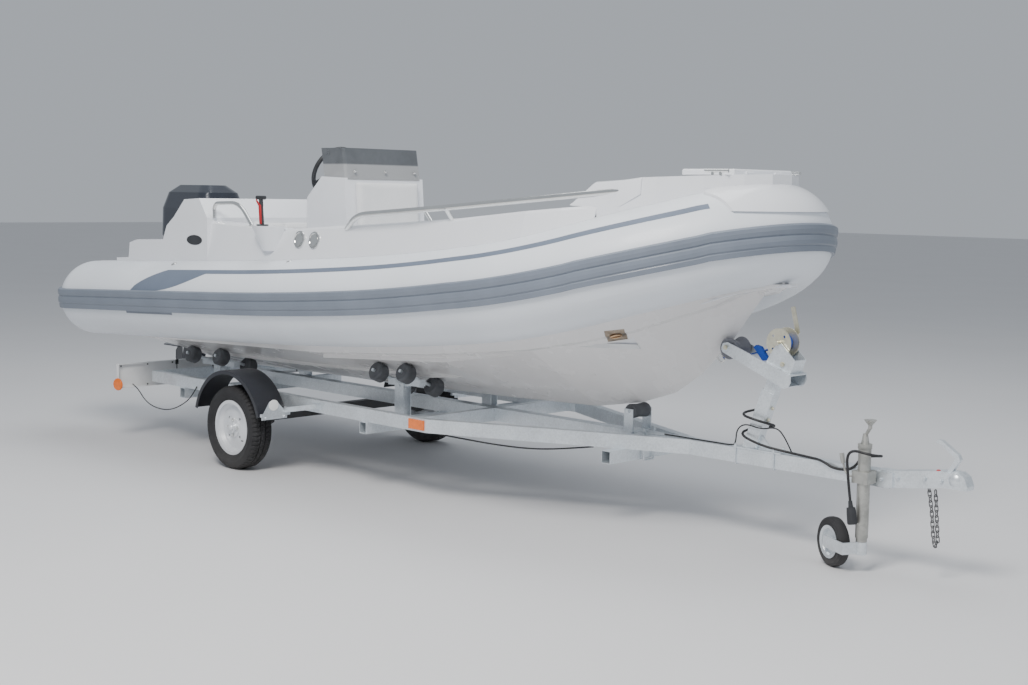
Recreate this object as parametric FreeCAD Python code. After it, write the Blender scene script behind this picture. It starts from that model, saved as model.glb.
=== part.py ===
import FreeCAD, Part
import math
import os

# An inflatable rib boat on its road trailer, in millimetres.
# x runs forward to the coupling, y to port and z up from the ground.
# Everything is drawn from the ground point under the trailer's axle.
# save() then moves it back so that the origin is the middle of the whole length.

os.makedirs("parts", exist_ok=True)

V = FreeCAD.Vector
UP = V(0, 0, 1)
SIDES = (-1, 1)

middle_x = 1255.0
curved_gap = 0.3

# Air tubes: centre line of the starboard side, from the aft dome to the bow.
tube_radius = 255.0
liner_in = tube_radius + 6.5
liner_gap = 0.8
tube_points = [
    (-1740, -775, 970),
    (600, -775, 1075),
    (1650, -775, 1155),
    (2483, -775, 1262),
    (3034, -547, 1430),
    (3384, -197, 1557),
]
tube_share = 0.49

strake_height = 137.0
strake_depth = 20.0

# Hull sections.
# columns: x, keel z, chine y, chine z, side y, side z
hull_sections = [
    (-1300, 505, 660, 715, 700, 850),
    (600, 535, 660, 775, 700, 920),
    (1600, 557, 650, 850, 700, 1010),
    (2300, 582, 580, 930, 690, 1100),
    (2620, 638, 490, 995, 640, 1190),
    (2850, 716, 380, 1060, 560, 1250),
    (3020, 833, 285, 1130, 470, 1320),
    (3200, 1015, 180, 1200, 340, 1380),
    (3394, 1268, 60, 1310, 120, 1420),
    (3500, 1314, 16, 1330, 30, 1430),
]
chine_flat = 45.0
hull_top = 1480.0

floor_thickness = 25.0
floor_line = [(-1300, 930), (-750, 930), (2400, 985), (2822, 985)]

coaming_wall = 8.0
# columns: x, top z
coaming_tops = [
    (-330, 1538),
    (449, 1506),
    (903, 1539),
    (1685, 1588),
    (1986, 1610),
    (2442, 1657),
    (2640, 1676),
    (2821.5, 1694),
]

# Trailer.
wheel_y = 789.0
axle_z = 261.0
tyre_radius = 261.0
tyre_width = 155.0
rim_radius = 170.0
frame_low = 408.0
frame_high = 484.0
frame_wall = 3.0
rail_y = 622.0
rail_width = 50.0
drawbar_half = 38.0
drawbar_start = -1200.0
drawbar_end = 4150.0
lower_low = 340.0

bow_roller = (3223, 0, 983.5)
drum_x, drum_z = 3508.0, 1034.0
post_foot = (3340, 0, 484)
post_top = (3470, 0, 838)

jockey_x = 4050.0
jockey_y = -97.0
jockey_turn = -27.3
jockey_radius = 119.0
jockey_trail = 148.0
jockey_side = 61.0

ball_x = 4473.0

# Outboard motor.
transom_x = -1300.0
tilt_axis = (-1330, 1150)
steer_x = -1410.0
prop_x = -1915.0
prop_z = 400.0
prop_radius = 165.0


def box(x0, x1, y0, y1, z0, z1):
    return Part.makeBox(x1 - x0, y1 - y0, z1 - z0, V(x0, y0, z0))


def rod(start, end, radius):
    run = V(*end) - V(*start)
    return Part.makeCylinder(radius, run.Length, V(*start), run)


def closed_face(points):
    return Part.Face(Part.makePolygon(points + points[:1]))


def prism_x(outline, x0, x1):
    face = closed_face([V(x0, y, z) for y, z in outline])
    return face.extrude(V(x1 - x0, 0, 0))


def prism_y(outline, y0, y1):
    face = closed_face([V(x, y0, z) for x, z in outline])
    return face.extrude(V(0, y1 - y0, 0))


def prism_z(outline, z0, z1):
    face = closed_face([V(x, y, z0) for x, y in outline])
    return face.extrude(V(0, 0, z1 - z0))


def turned(profile, centre, axis):
    """A profile of (radius, height) points turned about an axis."""
    face = closed_face([V(r, 0, h) for r, h in profile])
    solid = face.revolve(V(0, 0, 0), UP, 360)
    solid.Placement = FreeCAD.Placement(V(*centre), FreeCAD.Rotation(UP, V(*axis)))
    return solid


def joined(shapes):
    if len(shapes) == 1:
        return shapes[0]
    return shapes[0].fuse(shapes[1:]).removeSplitter()


def mirrored(shape):
    return shape.mirror(V(0, 0, 0), V(0, 1, 0))


def loft(wires):
    return Part.makeLoft(wires, True, True)


def outline_wire(points):
    return Part.makePolygon(points + points[:1])


def strip_outline(points, left, right):
    """Outline of a mitred strip along a flat line, with its two offsets."""
    flat = [V(a, b, 0) for a, b in points]
    sides = []
    for before, after in zip(flat, flat[1:]):
        run = (after - before).normalize()
        sides.append(V(-run.y, run.x, 0))
    rows = [[], []]
    for number, corner in enumerate(flat):
        one = sides[max(number - 1, 0)]
        two = sides[min(number, len(sides) - 1)]
        mitre = (one + two) * (1.0 / (1.0 + one.dot(two)))
        rows[0].append(corner + mitre * left)
        rows[1].append(corner - mitre * right)
    ring = rows[0] + rows[1][::-1]
    return [(p.x, p.y) for p in ring]


def beam(start, end, width, height, wall):
    """A box section between two middle points; wall 0 makes it solid."""
    a = V(*start)
    run = V(*end) - a
    along = V(run).normalize()
    side = UP.cross(along).normalize()
    rise = along.cross(side)

    def bar(grow, extra):
        w = side * (width / 2.0 - grow)
        h = rise * (height / 2.0 - grow)
        base = a - along * extra
        corners = [base + w + h, base - w + h, base - w - h, base + w - h]
        return closed_face(corners).extrude(run + along * (2 * extra))

    if wall == 0:
        return bar(0, 0)
    return bar(0, 0).cut(bar(wall, 1))


def rounded_runs(points, share):
    """Straight runs and tangent arcs along corner points."""
    corners = [V(*p) for p in points]
    runs = []
    start = corners[0]
    for before, here, after in zip(corners, corners[1:], corners[2:]):
        into = here - before
        out = after - here
        turn = into.getAngle(out)
        reach = share * min(into.Length, out.Length)
        into.normalize()
        out.normalize()
        radius = reach / math.tan(turn / 2.0)
        arc_start = here - into * reach
        arc_end = here + out * reach
        inward = (out - into * into.dot(out)).normalize()
        centre = arc_start + inward * radius
        axis = into.cross(out).normalize()
        runs.append(("line", start, arc_start))
        runs.append(("arc", arc_start, arc_end, centre, axis, turn, radius, into))
        start = arc_end
    runs.append(("line", start, corners[-1]))
    return runs


def round_bar(points, radius, share=0.45, name=None):
    """A round bar along corner points, with a tangent arc at each corner."""
    pieces = []
    radii = []
    for run in rounded_runs(points, share):
        if run[0] == "line":
            along = run[2] - run[1]
            pieces.append(Part.makeCylinder(radius, along.Length, run[1], along))
            continue
        arc_start, centre, axis = run[1], run[3], run[4]
        disc = Part.Face(Part.Wire(Part.makeCircle(radius, arc_start, run[7])))
        pieces.append(disc.revolve(centre, axis, math.degrees(run[5])))
        radii.append(round(run[6]))
    if name:
        print(name, "arc radii", radii)
    return joined(pieces)


def path_wire(points, share):
    edges = []
    for run in rounded_runs(points, share):
        if run[0] == "line":
            edges.append(Part.makeLine(run[1], run[2]))
            continue
        arc_start, arc_end, centre, axis = run[1], run[2], run[3], run[4]
        turn = FreeCAD.Rotation(axis, math.degrees(run[5] / 2.0))
        middle = centre + turn.multVec(arc_start - centre)
        edges.append(Part.Arc(arc_start, middle, arc_end).toShape())
    return Part.Wire(edges)


def rounded_rectangle(cx, cy, z, length, width, radius):
    x0, x1 = cx - length / 2.0, cx + length / 2.0
    y0, y1 = cy - width / 2.0, cy + width / 2.0
    r = radius
    k = radius * (1 - math.sqrt(0.5))
    corners = [
        (V(x1 - r, y0, z), V(x1 - k, y0 + k, z), V(x1, y0 + r, z)),
        (V(x1, y1 - r, z), V(x1 - k, y1 - k, z), V(x1 - r, y1, z)),
        (V(x0 + r, y1, z), V(x0 + k, y1 - k, z), V(x0, y1 - r, z)),
        (V(x0, y0 + r, z), V(x0 + k, y0 + k, z), V(x0 + r, y0, z)),
    ]
    edges = []
    for number, (a, b, c) in enumerate(corners):
        edges.append(Part.Arc(a, b, c).toShape())
        edges.append(Part.makeLine(c, corners[(number + 1) % 4][0]))
    return Part.Wire(edges)


def soft_box(x0, x1, y0, y1, z0, z1, radius):
    """A cushion: a box with every edge rounded."""
    block = box(x0, x1, y0, y1, z0, z1)
    return block.makeFillet(radius, block.Edges)


def save(name, shape):
    placed = shape.copy()
    placed.translate(V(-middle_x, 0, 0))
    placed.exportStep("parts/" + name + ".step")
    print(name, len(shape.Solids), shape.isValid(), round(shape.Volume / 1e6, 2))


def at_x(table, x, column):
    """Straight-line reading of a table whose first column is x."""
    for low, high in zip(table, table[1:]):
        if x <= high[0] or high is table[-1]:
            share = (x - low[0]) / (high[0] - low[0])
            return low[column] + share * (high[column] - low[column])


# Air tubes

tube_ring = tube_points + [(x, -y, z) for x, y, z in reversed(tube_points)]
dome = tube_points[0]


def tube_body(radius):
    bar = round_bar(tube_ring, radius, tube_share)
    ends = [Part.makeSphere(radius, V(dome[0], side * 775, dome[2])) for side in SIDES]
    return joined([bar] + ends)


def centre_samples():
    rows = []
    for run in rounded_runs(tube_ring, tube_share):
        if run[0] == "line":
            rows.append(run[1])
            rows.append(run[2])
            continue
        for step in range(1, 6):
            turn = FreeCAD.Rotation(run[4], math.degrees(run[5]) * step / 6.0)
            rows.append(run[3] + turn.multVec(run[1] - run[3]))
    return [(p.x, p.y, p.z) for p in rows if p.y <= 0]


centre_line = centre_samples()


def tube_at(x):
    return -at_x(centre_line, x, 1), at_x(centre_line, x, 2)


tubes = tube_body(tube_radius)
tube_space = tube_body(tube_radius + curved_gap)

point_b = V(*tube_points[4])
point_c = V(*tube_points[5])
seam_middle = (point_b + point_c) * 0.5
seam_normal = (point_c - point_b).normalize()


def ahead_of(point, normal, size):
    """A large block that begins at a point and lies ahead of it."""
    block = Part.makeBox(size, size, size, V(-size / 2.0, -size / 2.0, 0))
    block.Placement = FreeCAD.Placement(point, FreeCAD.Rotation(UP, normal))
    return block


bow_block = ahead_of(seam_middle, seam_normal, 3000)
port_block = mirrored(bow_block)
bow_zone = bow_block.common(port_block)
starboard_zone = box(-2500, 4500, -1500, 0, 0, 2500)
save("tube_starboard", tubes.common(starboard_zone).cut(bow_block))
save("tube_port", tubes.common(mirrored(starboard_zone)).cut(port_block))
save("tube_bow", tubes.common(bow_zone))


# Rub strake: two ribs and a flat band round the outside of the tubes

def strake_profile(centre):
    inner = tube_radius + 0.8
    half = strake_height / 2.0
    foot = math.sqrt(inner * inner - half * half)
    out = tube_radius + strake_depth
    # columns: distance out from the tube's middle, height
    rows = [
        (out - 14, half),
        (out - 2, half - 8),
        (out, half - 27),
        (out - 4, half - 46),
        (out - 10, half - 54),
        (out - 4, half - 62),
        (out - 2, half - 80),
        (out - 4, half - 98),
        (out - 10, half - 107),
        (out - 8, half - 112),
        (out - 12, -half),
    ]
    points = [V(0, -n, z) for n, z in rows]
    start = V(0, -foot, half)
    end = V(0, -foot, -half)
    edges = [Part.makeLine(start, points[0])]
    for a, b in zip(points, points[1:]):
        edges.append(Part.makeLine(a, b))
    edges.append(Part.makeLine(points[-1], end))
    edges.append(Part.Arc(end, V(0, -inner, 0), start).toShape())
    wire = Part.Wire(edges)
    wire.translate(V(*centre))
    return wire


strake_sweep = Part.BRepOffsetAPI.MakePipeShell(path_wire(tube_ring, tube_share))
strake_sweep.setBiNormalMode(UP)
strake_sweep.add(strake_profile(dome), False, False)
strake_sweep.build()
strake_sweep.makeSolid()
strake_parts = [strake_sweep.shape()]
for side in SIDES:
    end_face = Part.Face(strake_profile(dome))
    wrap = end_face.revolve(V(*dome), UP, -92)
    if side > 0:
        wrap = mirrored(wrap)
    strake_parts.append(wrap)
save("rub_strake", joined(strake_parts))


# Hull

def hull_outline(x, keel, chine_y, chine_z, side_y, side_z):
    flat = min(chine_flat, chine_y * 0.5)
    half = [
        (chine_y - flat, chine_z - 8),
        (chine_y, chine_z),
        (side_y, side_z),
        (side_y, hull_top),
    ]
    ring = [(0, keel)] + [(-y, z) for y, z in half] + [(y, z) for y, z in reversed(half)]
    return outline_wire([V(x, y, z) for y, z in ring])


def hull_z(x, y):
    keel = at_x(hull_sections, x, 1)
    chine_y = at_x(hull_sections, x, 2)
    chine_z = at_x(hull_sections, x, 3)
    return keel + (chine_z - 8 - keel) * abs(y) / (chine_y - chine_flat)


def floor_z(x):
    return at_x(floor_line, x, 1)


def skin_y(x, z):
    keel = at_x(hull_sections, x, 1)
    chine_y, chine_z = at_x(hull_sections, x, 2), at_x(hull_sections, x, 3)
    side_y, side_z = at_x(hull_sections, x, 4), at_x(hull_sections, x, 5)
    if z < chine_z:
        return chine_y * (z - keel) / (chine_z - keel)
    return chine_y + (side_y - chine_y) * min(1.0, (z - chine_z) / (side_z - chine_z))


def liner_half(x):
    return tube_at(x)[0] - liner_in


def foot_half(x):
    return min(liner_half(x), skin_y(x, floor_z(x) - floor_thickness) - 12)


def cockpit_wire(x):
    z = floor_z(x)
    half = [(foot_half(x), z - floor_thickness), (liner_half(x), z + 95), (liner_half(x), 2000)]
    ring = [(-y, b) for y, b in half] + [(y, b) for y, b in half[::-1]]
    return outline_wire([V(x, y, b) for y, b in ring])


cockpit_space = loft([cockpit_wire(x) for x, top in coaming_tops])
above_tubes = prism_y(
    [(-330, 1030), (600, 1075), (1650, 1155), (2483, 1262), (2822, 1340), (2822, 2000), (-330, 2000)],
    -1200, 1200)
stern_space = box(-1400, -330, -1200, 1200, 905, 2000)
hull_full = loft([hull_outline(*row) for row in hull_sections])
hull = hull_full.cut(cockpit_space).cut(above_tubes).cut(stern_space).cut(tube_space)
hull = max(hull.Solids, key=lambda piece: piece.Volume)

# Spray rails: wedges along the bottom
# columns: start x, start y, end x, end y, width
rail_rows = [
    (-1250, 330, 2500, 250, 34),
    (600, 575, 2150, 520, 34),
]
wedges = []
for x0, y0, x1, y1, width in rail_rows:
    for side in SIDES:
        wires = []
        for step in range(4):
            x = x0 + (x1 - x0) * step / 3.0
            y = y0 + (y1 - y0) * step / 3.0
            size = width if step < 3 else 6.0
            ring = [
                (y - size / 2, hull_z(x, y - size / 2) + 6),
                (y - size / 2, hull_z(x, y - size / 2) - 1),
                (y + size / 2, hull_z(x, y) - 14 * size / width),
                (y + size / 2, hull_z(x, y + size / 2) + 6),
            ]
            wires.append(outline_wire([V(x, side * a, b) for a, b in ring]))
        wedges.append(loft(wires))

# A moulded lip carries the bow tube and ends in a flat tongue ahead of the stem
lip_plan = [(2900, -430), (3300, -250), (3480, -70), (3560, -34), (3560, 34), (3480, 70), (3300, 250), (2900, 430)]
lip = round_bar(tube_ring, tube_radius + 15, tube_share).cut(tube_space)
lip = lip.common(prism_z(lip_plan, 1150, 1322))
tongue = prism_y([(3380, 1262), (3478, 1304), (3560, 1309), (3560, 1324), (3440, 1318), (3380, 1305)], -34, 34)
tongue = tongue.cut(tube_space)
flange = joined([lip, tongue])
hull = max(joined([hull, flange]).Solids, key=lambda piece: piece.Volume)
save("hull", joined([hull] + wedges))

floor_ring = floor_line + [(x, z - floor_thickness) for x, z in reversed(floor_line)]
floor = prism_y(floor_ring, -705, 705).common(cockpit_space)
save("cockpit_floor", floor)


# Coamings

def coaming_wire(x, top):
    y, z = tube_at(x)
    inner = y - liner_in - coaming_wall - liner_gap
    line = [
        (y + 30, z + tube_radius - 19),
        (y - 8, top - 14),
        (y - 24, top),
        (y - 142, top),
        (y - 158, top - 14),
        (inner, z + 60),
        (inner, floor_z(x) + 95),
        (foot_half(x) - coaming_wall - liner_gap, floor_z(x) - 2),
    ]
    ring = strip_outline(line, coaming_wall, 0)
    return outline_wire([V(x, -a, b) for a, b in ring])


coaming = loft([coaming_wire(x, top) for x, top in coaming_tops])
coaming = coaming.cut(tube_space)
floor_space = prism_y(floor_line + [(2830, 500), (-1310, 500)], -1200, 1200)
coaming = coaming.cut(floor_space)
hull_near = hull.copy()
hull_near.translate(V(-liner_gap, liner_gap, 0))
coaming = coaming.cut(hull_near)
coaming = max(coaming.Solids, key=lambda piece: piece.Volume)

# The starboard coaming carries a half cup on its outside
pod_x = 321.0
pod_radius = 136.0
pod = Part.makeCone(70, pod_radius, 150, V(pod_x, -752, 1375))
pod_hole = Part.makeCone(62, pod_radius - 8, 134, V(pod_x, -752, 1383))
keep_pod = prism_x([(-776, 1350), (-760, 1600), (-1000, 1600), (-1000, 1350)], 100, 600)
pod = pod.cut(pod_hole).common(keep_pod)
save("coaming_starboard", joined([coaming, pod]))
save("coaming_port", mirrored(coaming))


# Bow deck with its locker

# columns: foot x, foot y, top x, top y
deck_plan = [
    (2822, 655, 2822, 610),
    (2960, 640, 2950, 590),
    (3120, 560, 3105, 515),
    (3300, 400, 3280, 365),
    (3430, 250, 3410, 225),
    (3486, 90, 3470, 80),
]
deck_profile = [
    (2822, 1340),
    (2822, 1694),
    (2949, 1807),
    (3040, 1830),
    (3470, 1856),
    (3490, 1845),
    (3490, 1340),
]
low_ring = [(x, -y) for x, y, a, b in deck_plan] + [(x, y) for x, y, a, b in deck_plan[::-1]]
top_ring = [(a, -b) for x, y, a, b in deck_plan] + [(a, b) for x, y, a, b in deck_plan[::-1]]
deck = loft([
    outline_wire([V(x, y, 1340) for x, y in low_ring]),
    outline_wire([V(x, y, 1900) for x, y in top_ring]),
])
deck = deck.common(prism_y(deck_profile, -900, 900))
locker_x0, locker_x1, locker_y = 3070.0, 3330.0, 210.0
lid_z = 1846.0
locker = box(locker_x0, locker_x1, -locker_y, locker_y, 1560, 2000)
deck = deck.cut(locker)
cap = round_bar(tube_ring, tube_radius + 12, tube_share)
cap = cap.common(box(3300, 3800, -400, 400, 1677, 1860))
deck = joined([deck, cap]).cut(tube_space)
deck = deck.cut(hull_full)
deck = max(deck.Solids, key=lambda piece: piece.Volume)
save("bow_deck", deck)

lid = box(locker_x0 - 30, locker_x1 + 30, -locker_y - 30, locker_y + 30, 1850, 1879)
lid = lid.makeFillet(10, [edge for edge in lid.Edges if edge.BoundBox.ZMin > 1878])
lid = lid.cut(box(locker_x0 - 24, locker_x1 + 24, -locker_y - 24, locker_y + 24, 1800, 1872))
lid_low = [(x, 1830.3 + (x - 3040) * 26.0 / 430.0) for x in (3400, 3000)]
lid = lid.cut(prism_y([(3000, 1800), (3400, 1800)] + lid_low, -400, 400))
hinge_x, hinge_z = locker_x1 + 33.0, 1862.0
for side in SIDES:
    lid = lid.fuse(rod((hinge_x, side * 90, hinge_z), (hinge_x, side * 150, hinge_z), 6))
save("bow_locker_lid", lid.removeSplitter())


# Stern moulding with engine well, steps, backrest and bench base

stern_profile = [
    (-1300, 905),
    (-1300, 1200),
    (-1440, 1200),
    (-1440, 1262),
    (-1285, 1270),
    (-1270, 1372),
    (-1170, 1395),
    (-850, 1405),
    (-803, 1498),
    (-713, 1560),
    (-591, 1672),
    (-420, 1681),
    (-330, 1560),
    (-330, 905),
]
well_half = 340.0
stern = prism_y(stern_profile, -800, 800).cut(tube_space)
stern = stern.cut(box(-1250, -700, -well_half, well_half, 1060, 2000))
stern = stern.cut(box(-1600, -1249, -well_half, well_half, 1140, 2000))
stern = max(stern.Solids, key=lambda piece: piece.Volume)
bench = box(-330, 0, -500, 500, 937, 1205)
bench = bench.cut(box(-320, -10, -490, 490, 900, 1195)).cut(floor_space)
stern = joined([stern, bench]).cut(floor_space.common(box(-331, 10, -600, 600, 0, 1000)))
save("stern_moulding", max(stern.Solids, key=lambda piece: piece.Volume))


# Console, screen and cushions

console_y = -100.0
console_half = 315.0


def console_body(grow):
    profile = [
        (230 + grow, floor_z(230) - (grow > 0) * 5),
        (175 + grow, 1675 - grow),
        (350, 1830 - grow),
        (575 - grow, 1822 - grow),
        (650 - grow, floor_z(650) - (grow > 0) * 5),
    ]
    side = console_half - grow
    sheet = prism_y(profile, console_y - side, console_y + side)
    plan = Part.Face(rounded_rectangle(412, console_y, 800, 480 - 2 * grow, 2 * side, 40 - grow))
    return sheet.common(plan.extrude(V(0, 0, 1300)))



screen_line = [(380, console_y - 300), (578, console_y - 300), (590, console_y - 288),
               (590, console_y + 288), (578, console_y + 300), (380, console_y + 300)]
screen_foot = strip_outline(screen_line, 2.5, 2.5)
screen_low = outline_wire([V(x - 14, y, 1812) for x, y in screen_foot])
screen_high = outline_wire([V(x - 50, y, 2005) for x, y in screen_foot])
screen = loft([screen_low, screen_high])
console_space = console_body(0)
console_space.translate(V(0, 0, curved_gap))
screen = screen.cut(console_space)
save("windscreen", max(screen.Solids, key=lambda piece: piece.Volume))

pad = soft_box(0, 45, -250, 250, -170, 170, 18)
pad.Placement = FreeCAD.Placement(
    V(591.9, console_y, 1632), FreeCAD.Rotation(V(0, 1, 0), -4.9))
save("console_pad", pad)

seat_base = box(660, 1050, console_y - 250, console_y + 250, 900, 1240)
seat_base = seat_base.cut(box(670, 1040, console_y - 240, console_y + 240, 880, 1230))
save("front_seat_base", seat_base.cut(floor_space))
save("front_seat_cushion", soft_box(662, 1055, console_y - 255, console_y + 255, 1240, 1305, 22))
save("bench_cushion", soft_box(-325, 5, -495, 495, 1205, 1300, 28))
save("backrest_cushion", soft_box(-330, -265, -480, 480, 1315, 1545, 24))


# Steering wheel

helm = V(170, -170, 1860)
helm_tilt = math.radians(25)
helm_axis = V(-math.cos(helm_tilt), 0, math.sin(helm_tilt))
helm_turn = FreeCAD.Rotation(UP, helm_axis)
wheel_parts = [Part.makeTorus(162, 14), Part.makeCylinder(30, 50, V(0, 0, -38))]
for number in range(3):
    spoke = box(18, 156, -11, 11, -4, 4)
    spoke.rotate(V(0, 0, 0), UP, 120 * number)
    wheel_parts.append(spoke)
wheel = joined(wheel_parts).cut(Part.makeCylinder(9.05, 60, V(0, 0, -45)))
wheel.Placement = FreeCAD.Placement(helm, helm_turn)
save("steering_wheel", wheel)
column = joined([Part.makeCylinder(36, 197, V(0, 0, -240)), Part.makeCylinder(9, 48, V(0, 0, -44))])
column.Placement = FreeCAD.Placement(helm, helm_turn)
column = column.cut(console_body(0))
column = max(column.Solids, key=lambda piece: piece.CenterOfMass.z)
save("console", joined([console_body(0).cut(console_body(7)), column]))


# Handrails, lever, fillers and fittings

rails = []
for side in SIDES:
    y = side * 820
    rails.append(joined([
        round_bar([(1040, side * 765, 1530), (1198, y, 1610), (1816, y, 1654), (2940, side * 588, 1765)], 16),
        rod((1918, side * 752, 1595), (1918, side * 806, 1662), 12),
    ]))
    y = side * 750
    rails.append(round_bar([(-323, y, 1560), (-323, y, 1651), (-45, y, 1659), (90, y, 1520)], 12.5))
for solid in (coaming, mirrored(coaming), deck, stern):
    rails = [rail.cut(solid) for rail in rails]
rails = [max(rail.Solids, key=lambda piece: piece.Volume) for rail in rails]
save("handrails", Part.Compound(rails))

lever = joined([
    rod((262, -795, 1525), (262, -795, 1533), 36),
    rod((262, -795, 1530), (250, -795, 1650), 11),
    rod((250, -795, 1640), (246, -795, 1692), 13),
    rod((206, -795, 1694), (286, -795, 1694), 12),
])
save("control_lever", lever)

fillers = []
for x in (618, 762):
    fillers.append(rod((x, -772, 1452), (x, -784, 1454), 50).cut(coaming))
fillers = [max(part.Solids, key=lambda piece: piece.Volume) for part in fillers]
save("deck_fillers", Part.Compound(fillers))

deck_raised = deck.copy()
deck_raised.translate(V(0, 0, 0.6))
cleats = []
for side in SIDES:
    cleats.append(joined([
        rod((3250, side * 330, 1868), (3370, side * 300, 1868), 9),
        rod((3290, side * 320, 1845), (3290, side * 320, 1868), 8),
        rod((3330, side * 310, 1846), (3330, side * 310, 1868), 8),
    ]).cut(deck).cut(deck_raised))
cleats = [max(c.Solids, key=lambda piece: piece.Volume) for c in cleats]
bow_eye = round_bar([(3100, 0, 934), (3138, 0, 896), (3158, 0, 916), (3120, 0, 954)], 5).cut(hull_full)
cleats.append(max(bow_eye.Solids, key=lambda piece: piece.Volume))
save("deck_cleats", Part.Compound(cleats))


# Outboard motor

def fixed_bracket():
    pieces = []
    for side in SIDES:
        ear = prism_y([(-1300, 860), (-1300, 1141), (-1240, 1141), (-1240, 1175), (-1300, 1185),
                       (-1345, 1180), (-1362, 1140), (-1340, 860)], 92, 112)
        clamp = box(-1249, -1240, 60, 130, 1075, 1175)
        both = joined([ear, clamp])
        pieces.append(both if side > 0 else mirrored(both))
    pieces.append(box(-1316, -1300, -100, 100, 870, 900))
    pieces.append(box(-1249, -1240, -112, 112, 1141, 1175))
    pieces.append(rod((tilt_axis[0], -112, tilt_axis[1]), (tilt_axis[0], 112, tilt_axis[1]), 12))
    return joined(pieces)


transom_space = box(transom_x, -1250, -well_half, well_half, 800, 1140.3)
save("motor_bracket", fixed_bracket().cut(transom_space))

swivel = joined([
    Part.makeCylinder(38, 280, V(steer_x, 0, 905)),
    rod((tilt_axis[0], -84, tilt_axis[1]), (tilt_axis[0], 84, tilt_axis[1]), 24),
    box(-1400, -1335, -84, -60, 1100, 1160),
    box(-1400, -1335, 60, 84, 1100, 1160),
    box(-1412, -1380, -84, 84, 1090, 1170),
    box(-1400, -1372, -30, 30, 930, 1100),
])
swivel = swivel.cut(Part.makeCylinder(22.3, 300, V(steer_x, 0, 900)))
swivel = swivel.cut(rod((tilt_axis[0], -90, tilt_axis[1]), (tilt_axis[0], 90, tilt_axis[1]), 12.3))
save("swivel_bracket", swivel)

# columns: x front, x back, z, half width
leg_rows = [
    (-1322, -1868, 1349, 184),
    (-1345, -1845, 1310, 168),
    (-1462, -1640, 1240, 75),
    (-1480, -1690, 900, 60),
    (-1560, -1800, 640, 45),
    (-1630, -1860, 470, 30),
]
leg_wires = []
for front, back, z, half in leg_rows:
    round_off = half * 0.6
    leg_wires.append(rounded_rectangle((front + back) / 2.0, 0, z, front - back, 2 * half, round_off))
leg = loft(leg_wires)
yoke = joined([
    box(-1480, -1360, -45, 45, 1196, 1240),
    Part.makeCylinder(22, 325, V(steer_x, 0, 885)),
    box(-1500, -1380, -30, 30, 868, 897),
])
nose = Part.makeSphere(52, V(-1650, 0, prop_z))
torpedo = rod((-1650, 0, prop_z), (prop_x + 32, 0, prop_z), 52)
plate_plan = [(-1600, 0), (-1640, -60), (-1760, -115), (-1960, -115), (-2020, -60),
              (-2020, 60), (-1960, 115), (-1760, 115), (-1640, 60)]
vent_low = prop_z + prop_radius + 8
vent_plate = prism_z(plate_plan, vent_low, vent_low + 8)
skeg = prism_y([(-1640, 430), (-1700, 300), (-1790, 205), (-1850, 200), (-1880, 360), (-1850, 480)], -7, 7)
shaft = rod((prop_x - 50, 0, prop_z), (prop_x + 40, 0, prop_z), 12)
leg = joined([leg, yoke, nose, torpedo, vent_plate, skeg, shaft])
save("motor_leg", leg)

# columns: x front, x back, z, half width, corner radius
cowl_rows = [
    (-1322, -1868, 1349, 184, 108),
    (-1288, -1906, 1400, 200, 100),
    (-1290, -1904, 1600, 194, 100),
    (-1330, -1868, 1715, 160, 90),
    (-1410, -1790, 1768, 105, 70),
]


def cowl_body(grow):
    wires = []
    for front, back, z, half, corner in cowl_rows:
        level = z - grow if z > 1360 else z - (grow > 0)
        size_x = front - back - 2 * grow
        wires.append(rounded_rectangle(
            (front + back) / 2.0, 0, level, size_x, 2 * (half - grow), corner - grow))
    return loft(wires)


save("motor_cowl", cowl_body(0).cut(cowl_body(5)))
save("engine_block", box(-1800, -1420, -125, 125, 1349, 1660))

blades = [Part.makeCylinder(44, 80, V(0, 0, -40))]
for number in range(3):
    blade = prism_z([(30, -22), (75, -62), (135, -58), (163, -18), (prop_radius, 12),
                     (140, 50), (85, 48), (30, 22)], -2.5, 2.5)
    blade.rotate(V(0, 0, 0), V(1, 0, 0), 32)
    blade.rotate(V(0, 0, 0), UP, 120 * number)
    blades.append(blade)
prop = joined(blades).cut(Part.makeCylinder(12.4, 100, V(0, 0, -50)))
prop.Placement = FreeCAD.Placement(V(prop_x - 13, 0, prop_z), FreeCAD.Rotation(UP, V(-1, 0, 0)))
save("propeller", prop)


# Trailer frame

drawbar = beam((drawbar_start, 0, 446), (drawbar_end, 0, 446), 76, 76, frame_wall)
save("drawbar", drawbar)

side_rails = []
for side in SIDES:
    line = [(-1250, side * rail_y), (1590, side * rail_y), (2998, 0)]
    outer = prism_z(strip_outline(line, rail_width / 2, rail_width / 2), frame_low, frame_high)
    inner_half = rail_width / 2 - frame_wall
    line_inner = [(-1260, side * rail_y), (1590, side * rail_y), (2998, 0)]
    inner = prism_z(strip_outline(line_inner, inner_half, inner_half),
                    frame_low + frame_wall, frame_high - frame_wall)
    rail = outer.cut(inner)
    cut_low = min(-side * 1000, side * drawbar_half)
    cut_high = max(-side * 1000, side * drawbar_half)
    rail = rail.cut(box(1000, 4000, cut_low, cut_high, 0, 1000))
    side_rails.append(max(rail.Solids, key=lambda piece: piece.Volume))
save("side_rails", Part.Compound(side_rails))

members = []
inner_y = rail_y - rail_width / 2
members.append(beam((-1225, -inner_y, 446), (-1225, inner_y, 446), 50, 76, frame_wall))
for side in SIDES:
    members.append(beam((1500, side * drawbar_half, 446), (1500, side * inner_y, 446), 50, 76, frame_wall))
# columns: x, half length
for x, half in [(-840, 665), (1070, 665), (2630, 300)]:
    members.append(beam((x, -half, 374), (x, half, 374), 60, 68, frame_wall))
for side in SIDES:
    members.append(box(-1345, -1250, side * 330 - 15, side * 330 + 15, 430, 460))
save("cross_members", Part.Compound(members))


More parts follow.
